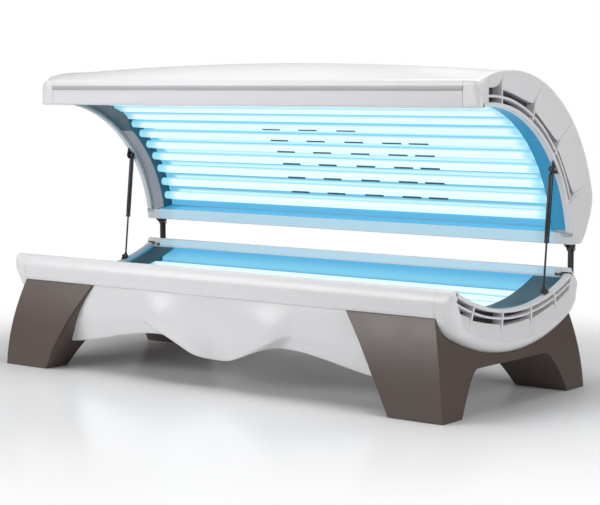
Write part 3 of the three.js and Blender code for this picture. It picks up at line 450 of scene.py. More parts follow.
def paint(node, look):
    """Gives a node of the model its finish."""
    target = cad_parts[node]
    target.data.materials.clear()
    target.data.materials.append(finish(look))


def wall(piece, thickness):
    """Gives an open sheet its thickness, behind its faces."""
    modifier = piece.modifiers.new("wall", "SOLIDIFY")
    modifier.thickness = thickness / MM
    modifier.offset = -1.0


def soften(piece, width, segments=2, angle=40.0):
    """Rounds a piece's hard edges."""
    modifier = piece.modifiers.new("edge", "BEVEL")
    modifier.width = width / MM
    modifier.segments = segments
    modifier.limit_method = "ANGLE"
    modifier.angle_limit = math.radians(angle)
    modifier.harden_normals = False
    return piece


# Finishes


def looks():
    """The scene's colours and levels."""
    return bpy.context.scene.tanning_bed_looks


def shape():
    """The scene's sizes of detail."""
    return bpy.context.scene.tanning_bed_shape


def add(tree, kind, values=None, **settings):
    """A new shader node with its settings and the values of some inputs."""
    node = tree.nodes.new("ShaderNode" + kind)
    for name, setting in settings.items():
        setattr(node, name, setting)
    for name, value in (values or {}).items():
        node.inputs[name].default_value = value
    return node


def wire(tree, *runs):
    """Links nodes: each run names a source node, its output, a target node and its input."""
    for source, output, target, entry in runs:
        tree.links.new(source.outputs[output], target.inputs[entry])


def sums(tree, operation, first, second=0.0):
    """Output of a math node on two values or sockets."""
    node = add(tree, "Math", operation=operation)
    for socket, value in zip(node.inputs, (first, second)):
        if isinstance(value, (int, float)):
            socket.default_value = value
        else:
            tree.links.new(value, socket)
    return node.outputs["Value"]


def stepped(tree, value, low, high):
    """Output that runs smoothly from 0 at low to 1 at high."""
    node = add(tree, "MapRange", {"From Min": low, "From Max": high}, interpolation_type="SMOOTHSTEP")
    tree.links.new(value, node.inputs["Value"])
    return node.outputs["Result"]


def new_material(name, values):
    """A material, its node tree and its shader, with some of the shader's inputs set."""
    material = bpy.data.materials.new(name)
    material.use_nodes = True
    shader = material.node_tree.nodes["Principled BSDF"]
    for entry, value in values.items():
        shader.inputs[entry].default_value = value
    return material, material.node_tree, shader


def mottle_group():
    """Node group: a colour that drifts slightly, a roughness that varies and a fine moulded grain."""
    tree = bpy.data.node_groups.new("moulded_surface", "ShaderNodeTree")
    face = tree.interface
    for name, kind, default in (
        ("Colour", "NodeSocketColor", (0.8, 0.8, 0.8, 1.0)),
        ("Drift", "NodeSocketColor", (0.75, 0.75, 0.75, 1.0)),
        ("Drift Scale", "NodeSocketFloat", 3.0),
        ("Grain Scale", "NodeSocketFloat", 700.0),
        ("Rough Low", "NodeSocketFloat", 0.25),
        ("Rough High", "NodeSocketFloat", 0.4),
    ):
        face.new_socket(name=name, in_out="INPUT", socket_type=kind).default_value = default
    face.new_socket(name="Colour", in_out="OUTPUT", socket_type="NodeSocketColor")
    for name in ("Roughness", "Height"):
        face.new_socket(name=name, in_out="OUTPUT", socket_type="NodeSocketFloat")
    inside, outside = tree.nodes.new("NodeGroupInput"), tree.nodes.new("NodeGroupOutput")
    place = add(tree, "TexCoord")
    broad, fine = add(tree, "TexNoise", {"Detail": 3.0}), add(tree, "TexNoise", {"Detail": 2.0})
    mix = add(tree, "Mix", data_type="RGBA")
    spread = add(tree, "MapRange", {"From Min": 0.3, "From Max": 0.7})
    wire(
        tree,
        (place, "Object", broad, "Vector"),
        (place, "Object", fine, "Vector"),
        (inside, "Drift Scale", broad, "Scale"),
        (inside, "Grain Scale", fine, "Scale"),
        (broad, "Fac", mix, "Factor"),
        (inside, "Colour", mix, "A"),
        (inside, "Drift", mix, "B"),
        (broad, "Fac", spread, "Value"),
        (inside, "Rough Low", spread, "To Min"),
        (inside, "Rough High", spread, "To Max"),
        (mix, "Result", outside, "Colour"),
        (spread, "Result", outside, "Roughness"),
        (fine, "Fac", outside, "Height"),
    )
    return tree


def moulded(name, colour, drift, rough, scales, bump, metal=0.0, coat=0.0):
    """A solid finish built on the moulded-surface group."""
    values = {"Metallic": metal, "Coat Weight": coat, "Coat Roughness": 0.15}
    material, tree, shader = new_material(name, values)
    group = add(tree, "Group", node_tree=bpy.data.node_groups.get("moulded_surface") or mottle_group())
    for socket, value in zip(group.inputs, ((*colour, 1.0), (*drift, 1.0), *scales, *rough)):
        socket.default_value = value
    relief = add(tree, "Bump", {"Strength": bump, "Distance": 0.001})
    wire(
        tree,
        (group, "Colour", shader, "Base Color"),
        (group, "Roughness", shader, "Roughness"),
        (group, "Height", relief, "Height"),
        (relief, "Normal", shader, "Normal"),
    )
    return material


def glowing(name, colour, glow, strength, rough):
    """A lit finish: a base colour with a glow that changes at the ends of the bed."""
    values = {"Base Color": (*colour, 1.0), "Roughness": rough, "Emission Strength": strength}
    material, tree, shader = new_material(name, values)
    place, split, ramp = add(tree, "TexCoord"), add(tree, "SeparateXYZ"), add(tree, "ValToRGB")
    ramp.color_ramp.interpolation = "EASE"
    first, last = ramp.color_ramp.elements
    first.position, last.position = 0.95, 1.0
    first.color, last.color = (*glow[0], 1.0), (*glow[1], 1.0)
    wire(tree, (place, "Object", split, "Vector"), (ramp, "Color", shader, "Emission Color"))
    tree.links.new(sums(tree, "ABSOLUTE", split.outputs["X"]), ramp.inputs["Fac"])
    return material


def glow_over(tree, mask, colour):
    """Turns a lit finish's glow to a colour where a mask is 1."""
    emission = tree.nodes["Principled BSDF"].inputs["Emission Color"]
    mix = add(tree, "Mix", {"B": (*colour, 1.0)}, data_type="RGBA")
    tree.links.new(mask, mix.inputs["Factor"])
    tree.links.new(emission.links[0].from_socket, mix.inputs["A"])
    tree.links.new(mix.outputs["Result"], emission)


def sheet_place(tree):
    """Output of the UV map's v."""
    sheet, split = add(tree, "UVMap", uv_map="sheet"), add(tree, "SeparateXYZ")
    wire(tree, (sheet, "UV", split, "Vector"))
    return split.outputs["Y"]


def lamp_glass(name):
    """Lit tube: white on the side towards the user and bluer round the back; the UV's v runs from 1 to -1."""
    glow = ((0.8, 0.96, 0.985), (0.35, 0.75, 0.9))
    material = glowing(name, (0.05, 0.07, 0.08), glow, looks().lamp_glow, 0.25)
    tree = material.node_tree
    glow_over(tree, stepped(tree, sheet_place(tree), 0.66, -0.2), (0.16, 0.6, 0.83))
    return material


def lit_reflector(name):
    """Reflector with painted lamplight: lit white between the lamps, with a blue line of painted shade midway
    and blue beyond the last lamps.

    The UV's v is the lamp's number, so a whole number is midway between two lamps.
    """
    line_blue, beyond_blue = (0.16, 0.5, 0.7), (0.09, 0.42, 0.72)
    material = glowing(name, (0.03, 0.06, 0.07), ((0.6, 0.9, 0.97), line_blue), looks().reflector_glow, 0.4)
    tree = material.node_tree
    number, count = sheet_place(tree), looks().lamp_count
    off_centre = sums(tree, "ABSOLUTE", sums(tree, "SUBTRACT", sums(tree, "FRACT", number), 0.5))
    glow_over(tree, stepped(tree, off_centre, 0.26, 0.42), line_blue)
    before, after = stepped(tree, number, 0.15, -0.1), stepped(tree, number, count - 0.2, count + 0.1)
    glow_over(tree, sums(tree, "MAXIMUM", before, after), beyond_blue)
    return material


def blue_band_lamplight(name):
    """Deep blue band by the ends of the lamps, with painted lamplight as its glow."""
    glow = ((0.008, 0.16, 0.33), (0.012, 0.2, 0.38))
    return glowing(name, (0.01, 0.05, 0.08), glow, looks().reflector_glow, 0.35)


def painted_pale_lamplight(name):
    """Painted lamplight: a pale glow on the rear rails' inner faces, standing in for the lamps' light falling
    on them.
    """
    glow = ((0.36, 0.55, 0.66), (0.3, 0.48, 0.6))
    return glowing(name, (0.1, 0.12, 0.13), glow, looks().reflector_glow, 0.4)


def painted_deep_lamplight(name):
    """Painted lamplight: a blue glow on the ledges behind the clear sheets, paler at the foot of the bed's
    ledge by its lamps.
    """
    glow = ((0.08, 0.4, 0.68), (0.05, 0.3, 0.55))
    material = glowing(name, (0.02, 0.06, 0.1), glow, looks().reflector_glow, 0.4)
    tree = material.node_tree
    place, split = add(tree, "TexCoord"), add(tree, "SeparateXYZ")
    wire(tree, (place, "Object", split, "Vector"))
    glow_over(tree, stepped(tree, split.outputs["Z"], 0.442, 0.392), (0.2, 0.58, 0.78))
    return material


def clear_acrylic(name):
    """Clear sheet: seen through head-on, with a polished face that shows more at a glancing angle."""
    material, tree, shader = new_material(name, {"Base Color": (0.02, 0.12, 0.2, 1.0), "IOR": 1.49})
    place, noise = add(tree, "TexCoord"), add(tree, "TexNoise", {"Scale": 6.0})
    facing = add(tree, "LayerWeight", {"Blend": 0.15})
    spread = add(tree, "MapRange", {"To Min": 0.03, "To Max": 0.09})
    clear = add(tree, "MapRange", {"To Min": 0.015, "To Max": 0.05})
    wire(
        tree,
        (place, "Object", noise, "Vector"),
        (noise, "Fac", spread, "Value"),
        (spread, "Result", shader, "Roughness"),
        (facing, "Fresnel", clear, "Value"),
        (clear, "Result", shader, "Alpha"),
    )
    return material


# Plain finishes: colour, drift colour, roughness, scales of the drift and the grain, relief and metal
PLAIN_FINISHES = {
    "black_paint": ((0.012, 0.013, 0.016), (0.022, 0.023, 0.027), (0.3, 0.45), (40.0, 1500.0), 0.05),
    "ground_steel": ((0.55, 0.57, 0.6), (0.45, 0.47, 0.5), (0.18, 0.3), (60.0, 2500.0), 0.02, 1.0),
    "sheet_steel": ((0.4, 0.42, 0.44), (0.33, 0.35, 0.37), (0.4, 0.55), (12.0, 1200.0), 0.03, 0.4),
    "black_moulding": ((0.02, 0.021, 0.023), (0.03, 0.031, 0.034), (0.45, 0.6), (10.0, 900.0), 0.06),
    "vent_shadow": ((0.035, 0.04, 0.05), (0.06, 0.065, 0.075), (0.5, 0.7), (25.0, 700.0), 0.05),
    "lilac_trim": ((0.42, 0.42, 0.47), (0.378, 0.378, 0.423), (0.35, 0.5), (5.0, 500.0), 0.04),
    "slate_panel": ((0.03, 0.085, 0.115), (0.0405, 0.11475, 0.15525), (0.3, 0.5), (6.0, 500.0), 0.05),
}
# The same for finishes in a colour that can be set, with the drift as a share of it, and a coat at the end
SET_FINISHES = {
    "white_moulding": ("shell_colour", 0.985, (0.28, 0.36), (2.2, 900.0), 0.03, 0.0, 0.15),
    "taupe_moulding": ("pedestal_colour", 0.88, (0.3, 0.42), (5.0, 600.0), 0.06),
    "grey_trim": ("trim_colour", 0.93, (0.3, 0.4), (4.0, 800.0), 0.03),
}
LIT_FINISHES = {
    "lamp_glass": lamp_glass,
    "lit_reflector": lit_reflector,
    "blue_band_lamplight": blue_band_lamplight,
    "painted_pale_lamplight": painted_pale_lamplight,
    "painted_deep_lamplight": painted_deep_lamplight,
    "clear_acrylic": clear_acrylic,
}


def finish(name):
    """The named finish, made the first time it is asked for."""
    title = "look_" + name
    made = bpy.data.materials.get(title)
    if made:
        return made
    if name in PLAIN_FINISHES:
        return moulded(title, *PLAIN_FINISHES[name])
    if name in SET_FINISHES:
        colour_name, drift, *rest = SET_FINISHES[name]
        colour = np.array(getattr(looks(), colour_name))
        return moulded(title, colour, colour * drift, *rest)
    return LIT_FINISHES[name](title)


# End caps, in coordinates that run along the outline and in from it towards the lip

VENT_BACK = END_HALF - 46.0
VENT_FADE, VENT_OVERRUN = 1.2, 0.5
PANEL_X, SCOOP_POWER = END_HALF - 1.5, 1.6
# Distances in millimetres, and as shares of the cap's depth where that is less
PANEL_START, PANEL_LEAST = (3.0, 0.1), (4.0, 0.2)
ROLL_SHARE = 0.6
BAR_BACK, BAR_FRONT, BAR_CORNER = END_HALF - 40.0, END_HALF - 6.0, 3.0
WEB_SHARE, WEB_RUN = 0.7, 26.0
PANEL_RETURN, VENT_ROOM, SLOT_POWER, SHADE_LAP = 4.0, (20.0, 50.0), 4, 6.0
# Radius of a cap's rolled edge, then what is added to it, and the range over which it is added
BED_ROLL, BED_ROLL_DEEP, BED_ROLL_FRONT = 10.0, (34.0, 40.0, 120.0), (30.0, 400.0, 440.0)
CANOPY_ROLL, CANOPY_ROLL_FRONT = 4.0, (40.0, 225.0, 275.0)

# A cap's ribs and vents by angle, then how far out from the lip its parts lie, and sizes of its relief
BED_CAP = {
    "ribs": (-108.3, -95.8, -83.4, -72.6),
    "span": (-114.6, -65.4),
    "lip": 15.0,
    "bar": (31.0, 40.0),
    "slot": 58.0,
    "recede": 8.0,
    "scoop": 10.0,
    "rib": 10.0,
    "bead": 1.2,
}
CANOPY_CAP = {
    "ribs": (21.5, 41.9, 62.0, 83.4),
    "span": (21.5, 91.0),
    "lip": 15.0,
    "bar": (33.0, 43.0),
    "slot": 68.0,
    "recede": 20.0,
    "scoop": 19.0,
    "rib": 8.0,
    "bead": 0.9,
}


class CapFrame:
    """Ruled frame of an end cap: each outer point is paired with the lip's point at the same angle."""

    def __init__(self, outer, centre, lip_radius, angles, side):
        self.outer, self.centre, self.lip_radius, self.side = outer, centre, lip_radius, side
        offset = outer - centre
        turn = np.degrees(np.unwrap(np.arctan2(offset[:, 1], offset[:, 0])))
        turn -= 360.0 * np.round((turn.mean() - sum(angles) / 2.0) / 360.0)
        self.angle = np.clip(turn, min(angles), max(angles))
        radians = np.radians(self.angle)
        span = centre + lip_radius * np.stack([np.cos(radians), np.sin(radians)], axis=1) - outer
        self.depth = np.maximum(np.hypot(span[:, 0], span[:, 1]), 0.01)
        self.way = span / self.depth[:, None]

    def sheet(self, inward, x):
        """Grid of points at distances in from the outline, with a row for each of its points."""
        y, z = self.outer.T[:, :, None] + inward * self.way.T[:, :, None]
        return grid_of(self.side * x, y, z)


def cap_face(cap, edge, openness, slot_edge, style):
    """Outer wall, rounded edge and scooped panels of a cap, as one sheet.

    Each row runs from the joint, along the side and round a quarter circle of the edge radius, then falls
    inwards on an eased curve to the upper slot where the vents are open, or to the lip where they are not.
    """
    count, lip, rolled = len(cap.outer), style["lip"], edge[:, None]
    quarter = np.radians(np.linspace(0.0, 90.0, 8))[None, :]
    side_x = np.stack([np.full(count, BODY_HALF), END_HALF - edge], axis=1)
    round_d = rolled * (1.0 - np.cos(quarter))
    round_x = END_HALF - rolled + rolled * np.sin(quarter)
    start = (edge + np.minimum(PANEL_START[0], cap.depth * PANEL_START[1]))[:, None]
    least = edge + np.minimum(PANEL_LEAST[0], cap.depth * PANEL_LEAST[1])
    stop = np.maximum(cap.depth - lip - (slot_edge - lip) * openness, least)[:, None]
    t = np.linspace(0.0, 1.0, 14)[None, :]
    panel_d = start + (stop - start) * t
    panel_x = PANEL_X - style["scoop"] * openness[:, None] * t**SCOOP_POWER
    back_x = np.stack([panel_x[:, -1] - PANEL_RETURN, np.full(count, VENT_BACK)], axis=1)
    inward = np.hstack([np.zeros((count, 2)), round_d, panel_d, stop, stop])
    return cap.sheet(inward, np.hstack([side_x, round_x, panel_x, back_x]))


def cap_lip(cap, angles, depth):
    """Lip of a cap: its rounded nose beyond the clear sheet and the ledge that the sheet lies on."""
    nose = [(depth, BODY_HALF), (depth, END_HALF - 4), (depth - 3, END_HALF - 0.8), (depth - 7, END_HALF)]
    nose += [(5, END_HALF), (1.5, END_HALF - 1), (0, END_HALF - 4)]
    ledge = [(0, LEDGE_END), (13.3, LEDGE_END), (13.3, BODY_HALF)]
    section = [(cap.lip_radius + out, x) for out, x in nose + ledge]
    return ring_sweep(cap.centre, angles, section, cap.side, 80)


def bay_share(angle, ribs):
    """Share of the way along each bay between two ribs, from 0 at the larger angle to 1 at the smaller."""
    ribs = np.unique(ribs)
    k = np.clip(np.searchsorted(ribs, angle), 1, len(ribs) - 1)
    return np.clip((ribs[k] - angle) / (ribs[k] - ribs[k - 1]), 0.0, 1.0)


def rib_section(cap, edge, angle, style):
    """Section of a rib: level over the vents, then a web sinks on an eased curve to a bead on the panel."""
    slot, scoop = style["slot"], style["scoop"]
    order = np.argsort(cap.angle, kind="stable")
    depth, rolled = (np.interp(angle, cap.angle[order], value[order]) for value in (cap.depth, edge))
    start = rolled + PANEL_START[0]
    out = np.linspace(slot, depth - start - 1.0, 10)
    t = (depth - out - start) / (depth - slot - start)
    web = style["bead"] + scoop * WEB_SHARE * (1.0 - ease(out, slot, slot + WEB_RUN))
    crest = np.minimum(PANEL_X - scoop * t**SCOOP_POWER + web, END_HALF - 0.5)
    root, reach = cap.lip_radius + style["lip"] - 1.0, cap.lip_radius + out
    return [(root, VENT_BACK), (root, END_HALF - 2.0), *zip(reach, crest), (reach[-1], VENT_BACK)]


def cap_pieces(name, cap, rolled, style, lip_angles):
    """All the surfaces of one cap: its face, lip, louvre bar, ribs and the shade behind the vents."""
    low, high = style["span"]
    lip, slot, recede = style["lip"], style["slot"], style["recede"]
    edge = np.minimum(rolled, cap.depth * ROLL_SHARE)
    openness = ease(cap.angle, low - VENT_FADE, low) * (1.0 - ease(cap.angle, high, high + VENT_FADE))
    openness *= ease(cap.depth, lip + VENT_ROOM[0], lip + VENT_ROOM[1])
    slot_edge = slot + recede * bay_share(cap.angle, (low, *style["ribs"], high)) ** SLOT_POWER
    face = cap_face(cap, edge, openness, slot_edge, style)
    r, vents = cap.lip_radius, (low - VENT_OVERRUN, high + VENT_OVERRUN)
    inner, outer = style["bar"]
    bar = rounded_box((r + inner, BAR_BACK), (r + outer, BAR_FRONT), BAR_CORNER)
    swept = [cap_lip(cap, lip_angles, lip), ring_sweep(cap.centre, vents, bar, cap.side)]
    half = math.degrees(style["rib"] / 2.0 / (r + inner))
    for angle in style["ribs"]:
        rib = rib_section(cap, edge, angle, style)
        swept.append(ring_sweep(cap.centre, (angle - half, angle + half), rib, cap.side, 2))
    deep = r + slot + recede + SHADE_LAP
    shade = rounded_box((r + lip - 1.0, VENT_BACK - 1.0), (deep, VENT_BACK + 1.0), 0.5, 2)
    dark = ring_sweep(cap.centre, vents, shade, cap.side)
    return make(name, [(face, {}), *closed(*swept)]), make(name + "_vent_shade", closed(dark))


def bed_cap(label, side):
    """Bed end cap, whose face rolls under into the belly."""
    face, rear, radius = front_rail_face(), rear_rail_face(), BED_RADIUS - LIP
    angles = [dip_angle(BED_CENTRE, radius, y) for y in (BED_FRONT, BED_REAR)]
    first, last = (spot(BED_CENTRE, radius, angle) for angle in angles)
    belly, crest = belly_path(face[-1], rear[0]), [BED_REAR, rear[-1, 1] - REAR_CREST_DROP]
    outer = even(np.vstack([first, face[:-1], belly, rear[1:], crest, last]), 420)
    cap = CapFrame(outer, BED_CENTRE, radius, angles, side)
    rolled = BED_ROLL + eased(cap.depth, *BED_ROLL_DEEP) + eased(-outer[:, 0], *BED_ROLL_FRONT)
    return cap_pieces(f"bed_cap_{label}", cap, rolled, BED_CAP, angles)


def canopy_cap(label, side):
    """Canopy end cap: panels that fall in from its outer edge to the vents."""
    roof = arc(ROOF_CENTRE, ROOF_RADIUS, ROOF_START, roof_angle(), 60)
    first, last = (spot(CANOPY_CENTRE, CANOPY_RADIUS - LIP, angle) for angle in CANOPY_ANGLES)
    outer = even(np.vstack([first, canopy_back(), roof[1:], canopy_rail_face()[1:], last]), 460)
    cap = CapFrame(outer, CANOPY_CENTRE, CANOPY_RADIUS - LIP, CANOPY_ANGLES, side)
    rolled = CANOPY_ROLL + eased(-outer[:, 0], *CANOPY_ROLL_FRONT)
    return cap_pieces(f"canopy_cap_{label}", cap, rolled, CANOPY_CAP, CANOPY_ANGLES)


def dress_caps(build, body, name):
    """Builds both end caps of a body, and dresses them and the shade behind their vents."""
    for label, side in SIDES:
        white, dark = build(label, side)
        dress(white, "white_moulding", body, SHELL_SLOT, f"{name}_end_cap_{label}")
        dress(dark, "vent_shadow", body, SHELL_SLOT)


# Operators


class TanningBedLooks(bpy.types.PropertyGroup):
    """Colours and levels that a user would change."""

    shell_colour: bpy.props.FloatVectorProperty(
        name="Shell colour",
        description="White mouldings of the bed and canopy",
        subtype="COLOR",
        size=3,
        default=(0.7, 0.698, 0.71),
        min=0.0,
        max=1.0,
    )
    pedestal_colour: bpy.props.FloatVectorProperty(
        name="Pedestal colour",
        description="Brown-grey mouldings of the pedestals",
        subtype="COLOR",
        size=3,
        default=(0.092, 0.066, 0.057),
        min=0.0,
        max=1.0,
    )
    trim_colour: bpy.props.FloatVectorProperty(
        name="Trim colour",
        description="Stripe along the canopy's front rail",
        subtype="COLOR",
        size=3,
        default=(0.4, 0.4, 0.41),
        min=0.0,
        max=1.0,
    )
    lamp_glow: bpy.props.FloatProperty(
        name="Lamp glow", description="Strength of the lamps' light", default=1.0, min=0.0
    )
    lamp_count: bpy.props.IntProperty(
        name="Lamp count", description="Lamps in the canopy", default=12, min=1
    )
    reflector_glow: bpy.props.FloatProperty(
        name="Reflector glow", description="Strength of the light on the reflectors", default=1.0, min=0.0
    )


class TanningBedShape(bpy.types.PropertyGroup):
    """Sizes of the detail that is laid over the model."""

    crown: bpy.props.FloatProperty(
        name="Crown", description="Rise of the canopy's roof at mid-length", default=0.037, unit="LENGTH"
    )
    lamp_cap: bpy.props.FloatProperty(
        name="Lamp cap", description="Length of a lamp's metal end cap", default=0.026, unit="LENGTH"
    )
    fold: bpy.props.FloatProperty(
        name="Fold", description="Depth of the folds in the front skirt", default=0.034, unit="LENGTH"
    )


class TANBED_OT_stage(bpy.types.Operator):
    """Builds the floor, the light and the camera"""

    bl_idname = "tanbed.stage"
    bl_label = "Studio"

    def execute(self, context):
        scene = context.scene
        scene.view_settings.view_transform = "Standard"
        self.world(scene)
        self.floor()
        self.lights()
        self.camera(scene)
        return {"FINISHED"}

    def world(self, scene):
        """White to the camera and through clear pieces, and a dim even fill to everything else."""
        world = bpy.data.worlds.new("studio")
        scene.world = world
        world.use_nodes = True
        tree = world.node_tree
        back = tree.nodes["Background"]
        back.inputs["Color"].default_value = (1.0, 1.0, 1.0, 1.0)
        path = add(tree, "LightPath")
        seen = sums(tree, "MAXIMUM", path.outputs["Is Camera Ray"], path.outputs["Is Transmission Ray"])
        level = add(tree, "MapRange", {"To Min": AMBIENT, "To Max": 1.0})
        tree.links.new(seen, level.inputs["Value"])
        wire(tree, (level, "Result", back, "Strength"))

    def floor(self):
        """Round plane of rings about the bed: a little glossy near it and white to the camera far off."""
        radius = np.linspace(0.0, 1.0, 24)[:, None] ** 2 * FLOOR_REACH
        turn = np.linspace(0.0, 2.0 * np.pi, 64, endpoint=False)[None, :]
        grid = grid_of(radius * np.cos(turn), radius * np.sin(turn), -1.0)
        floor = make("floor", [(grid, {"close_columns": True})])
        white, drift = (0.93, 0.93, 0.935), (0.9, 0.9, 0.91)
        material = moulded("floor_white", white, drift, (0.14, 0.22), (0.8, 60.0), 0.0)
        tree = material.node_tree
        place, away = add(tree, "TexCoord"), add(tree, "VectorMath", operation="LENGTH")
        path, glow, mix = add(tree, "LightPath"), add(tree, "Emission"), add(tree, "MixShader")
        far = stepped(tree, away.outputs["Value"], *FLOOR_FADE)
        tree.links.new(sums(tree, "MULTIPLY", far, path.outputs["Is Camera Ray"]), mix.inputs["Fac"])
        wire(
            tree,
            (place, "Object", away, 0),
            (tree.nodes["Principled BSDF"], "BSDF", mix, 1),
            (glow, "Emission", mix, 2),
            (mix, "Shader", tree.nodes["Material Output"], "Surface"),
        )
        floor.data.materials.append(material)

    def lights(self):
        """A broad softbox overhead, a key at the front left, a fill at the right and a weak light behind."""
        for name, place, aim, size, power in (
            ("overhead", (0.2, -0.2, 4.0), (0.0, 0.0, 0.5), (3.4, 1.6), 112.0),
            ("key", (-2.4, -4.6, 2.3), (0.0, 0.0, 0.4), (4.2, 2.2), 150.0),
            ("fill", (5.4, -0.6, 2.4), (0.6, 0.0, 0.6), (2.2, 2.2), 110.0),
            ("rear", (-0.5, 4.0, 3.4), (0.0, 0.0, 0.6), (3.4, 1.4), 14.0),
        ):
            light = bpy.data.lights.new(name, "AREA")
            light.shape = "RECTANGLE"
            light.size, light.size_y = size
            light.energy = power
            lamp = bpy.data.objects.new(name, light)
            bpy.context.collection.objects.link(lamp)
            way = np.array(aim) - np.array(place)
            flat = math.hypot(way[0], way[1])
            lamp.location = place
            lamp.rotation_euler = (math.atan2(flat, -way[2]), 0.0, math.atan2(-way[0], way[1]))

    def camera(self, scene):
        """Camera at the photograph's place, with the photograph's focal length."""
        data = bpy.data.cameras.new("view")
        data.sensor_fit = "HORIZONTAL"
        data.sensor_width = SENSOR
        data.lens = FOCAL_PIXELS / PHOTO_WIDTH * SENSOR
        data.clip_end = 200.0
        camera = bpy.data.objects.new("view", data)
        bpy.context.collection.objects.link(camera)
        camera.location = to_frame(CAMERA_PLACE)
        camera.rotation_euler = (math.radians(90.0 - CAMERA_DIP), 0.0, math.radians(CAMERA_TURN))
        scene.camera = camera


class TANBED_OT_bed_rails(bpy.types.Operator):
    """Builds the bed's two long rails and its belly"""

    bl_idname = "tanbed.bed_rails"
    bl_label = "Bed rails and belly"

    def execute(self, context):
        """Rails are closed outlines carried along x; the belly is a path and its copy one skin inside."""
        face, back = front_rail_face(), rear_rail_face()
        front = np.vstack([face, [BED_FRONT, face[-1, 1]], [BED_FRONT, face[0, 1] - FRONT_CREST_DROP]])
        rear = np.vstack([back, [BED_REAR, back[-1, 1] - REAR_CREST_DROP], [BED_REAR, back[0, 1]]])
        for name, outline in (("bed_front_rail", front), ("bed_rear_rail", rear)):
            rail = carried(name + "_skin", outline)
            dress(soften(rail, EDGE_ROUND), "white_moulding", "base", SHELL_SLOT, name)
        path = belly_path((BELLY_FRONT, LEG_TOP), (back[0, 0] - BELLY_INSET, REAR_RAIL_BOTTOM - GAP))
        skin = np.vstack([path, left_of(path, SKIN)[::-1]])
        belly = carried("belly_skin", skin)
        dress(belly, "white_moulding", "base", SHELL_SLOT, "bed_shell")
        return {"FINISHED"}


class TANBED_OT_skirt(bpy.types.Operator):
    """Builds the draped front skirt"""

    bl_idname = "tanbed.skirt"
    bl_label = "Front skirt"

    def execute(self, context):
        """Sheet between the legs: a half sine bulge, a cubic tuck towards the lower edge, and the folds."""
        across = np.linspace(-1.0, 1.0, 241)[:, None]
        drop = np.linspace(0.0, 1.0, 61)[None, :]
        guess = self.leg_edge(LEG_TOP - (LEG_TOP - SKIRT_END) * drop) * across
        z = LEG_TOP - (LEG_TOP - self.lower_edge(guess)) * drop
        x = self.leg_edge(z) * across
        bulge = SKIRT_BULGE * np.sin(np.pi * np.minimum(drop / SKIRT_BULGE_RUN, 1.0))
        y = front_rail_face()[-1, 0] + SKIRT_SET - bulge + SKIRT_TUCK * drop**3 - self.folds(x, z)
        skirt = make("skirt_drape", [(grid_of(x, y, z), {})], sharp=60.0)
        wall(skirt, SKIRT_WALL)
        self.face_front(skirt)
        dress(skirt, "white_moulding", "base", SHELL_SLOT, "front_skirt")
        return {"FINISHED"}

    def leg_edge(self, z):
        """x of the skirt's ends at a height, just clear of the legs' inner faces."""
        return leg_face(z, *LEG_INNER) - SKIRT_GAP

    def face_front(self, skirt):
        """The sheet's faces look towards the user, so that its wall grows inwards."""
        mesh = skirt.data
        normals = np.empty(len(mesh.polygons) * 3)
        mesh.polygons.foreach_get("normal", normals)
        if normals.reshape(-1, 3)[:, 1].mean() > 0.0:
            mesh.flip_normals()

    def lower_edge(self, x):
        """Lower edge: a raised cosine from a low middle up to each arch and down again to the legs."""
        run = np.abs(x)
        wave = 1.0 - np.cos(np.pi * run / SKIRT_ARCH_X)
        rise = SKIRT_MIDDLE + (SKIRT_ARCH - SKIRT_MIDDLE) * wave / 2.0
        wave = 1.0 + np.cos(np.pi * (run - SKIRT_ARCH_X) / SKIRT_ARCH_RUN)
        fall = SKIRT_END + (SKIRT_ARCH - SKIRT_END) * wave / 2.0
        return np.where(run < SKIRT_ARCH_X, rise, fall)

    def folds(self, x, z):
        """Ridge from each arch to the middle: a Gaussian of the distance to its line, sharper below it."""
        way = (FOLD_LOW - FOLD_HIGH) / np.hypot(*(FOLD_LOW - FOLD_HIGH))
        run, level = np.abs(x) - FOLD_HIGH[0], z - FOLD_HIGH[1]
        along = run * way[0] + level * way[1]
        gap = level * -way[0] + run * way[1]
        ridge = np.exp(-((gap / np.where(gap > 0.0, FOLD_ABOVE, FOLD_BELOW)) ** 2))
        return shape().fold * MM * ridge * ease(along, *FOLD_START) * ease(np.abs(x), *FOLD_MIDDLE)


class TANBED_OT_pedestals(bpy.types.Operator):
    """Builds the two pedestals"""

    bl_idname = "tanbed.pedestals"
    bl_label = "Pedestals"

    def execute(self, context):
        """An outline across the bed, carried from a splayed and bowed inner face to an outer one."""
        outline = self.section()
        inner, outer = (leg_face(outline[None, :, 1], *face) for face in (LEG_INNER, LEG_OUTER))
        share = np.linspace(0.0, 1.0, 12)[:, None]
        for label, side in SIDES:
            grid = grid_of(side * (inner + (outer - inner) * share), *outline.T[:, None])
            piece = soften(make(f"pedestal_{label}_skin", closed(grid)), LEG_ROUND, 3, 35.0)
            dress(piece, "taupe_moulding", "base", "taupe_shell", f"pedestal_{label}")
        return {"FINISHED"}

    def section(self):
        """Closed outline across the bed: leg, foot, arch, foot, leg and the seat under the belly."""
        face, back, mid = front_rail_face(), rear_rail_face(), BELLY_CENTRE[0]
        seat = left_of(belly_path(face[-1], back[0]), -SEAT_GAP)[-2:0:-1]
        arch = bezier(LEG_ARCH, 16)
        front_arch = arch * [-1.0, 1.0] + [mid, 0.0]
        rear_arch = (arch + [mid, 0.0])[::-1]
        front = straight([face[-1, 0] - LEG_LAP, LEG_TOP], [mid - LEG_REACH, 0.0], 12)
        front[:, 0] -= bow(front[:, 1], LEG_BOW)
        rear = straight([mid + LEG_REACH, 0.0], [back[0, 0] + LEG_LAP, LEG_TOP], 12)
        rear[:, 0] += bow(rear[:, 1], LEG_BOW)
        front_end, rear_end = ([edge[0] - GAP, LEG_TOP] for edge in (face[-1], back[0]))
        return np.vstack([front, front_arch, rear_arch, rear, rear_end, seat, front_end])


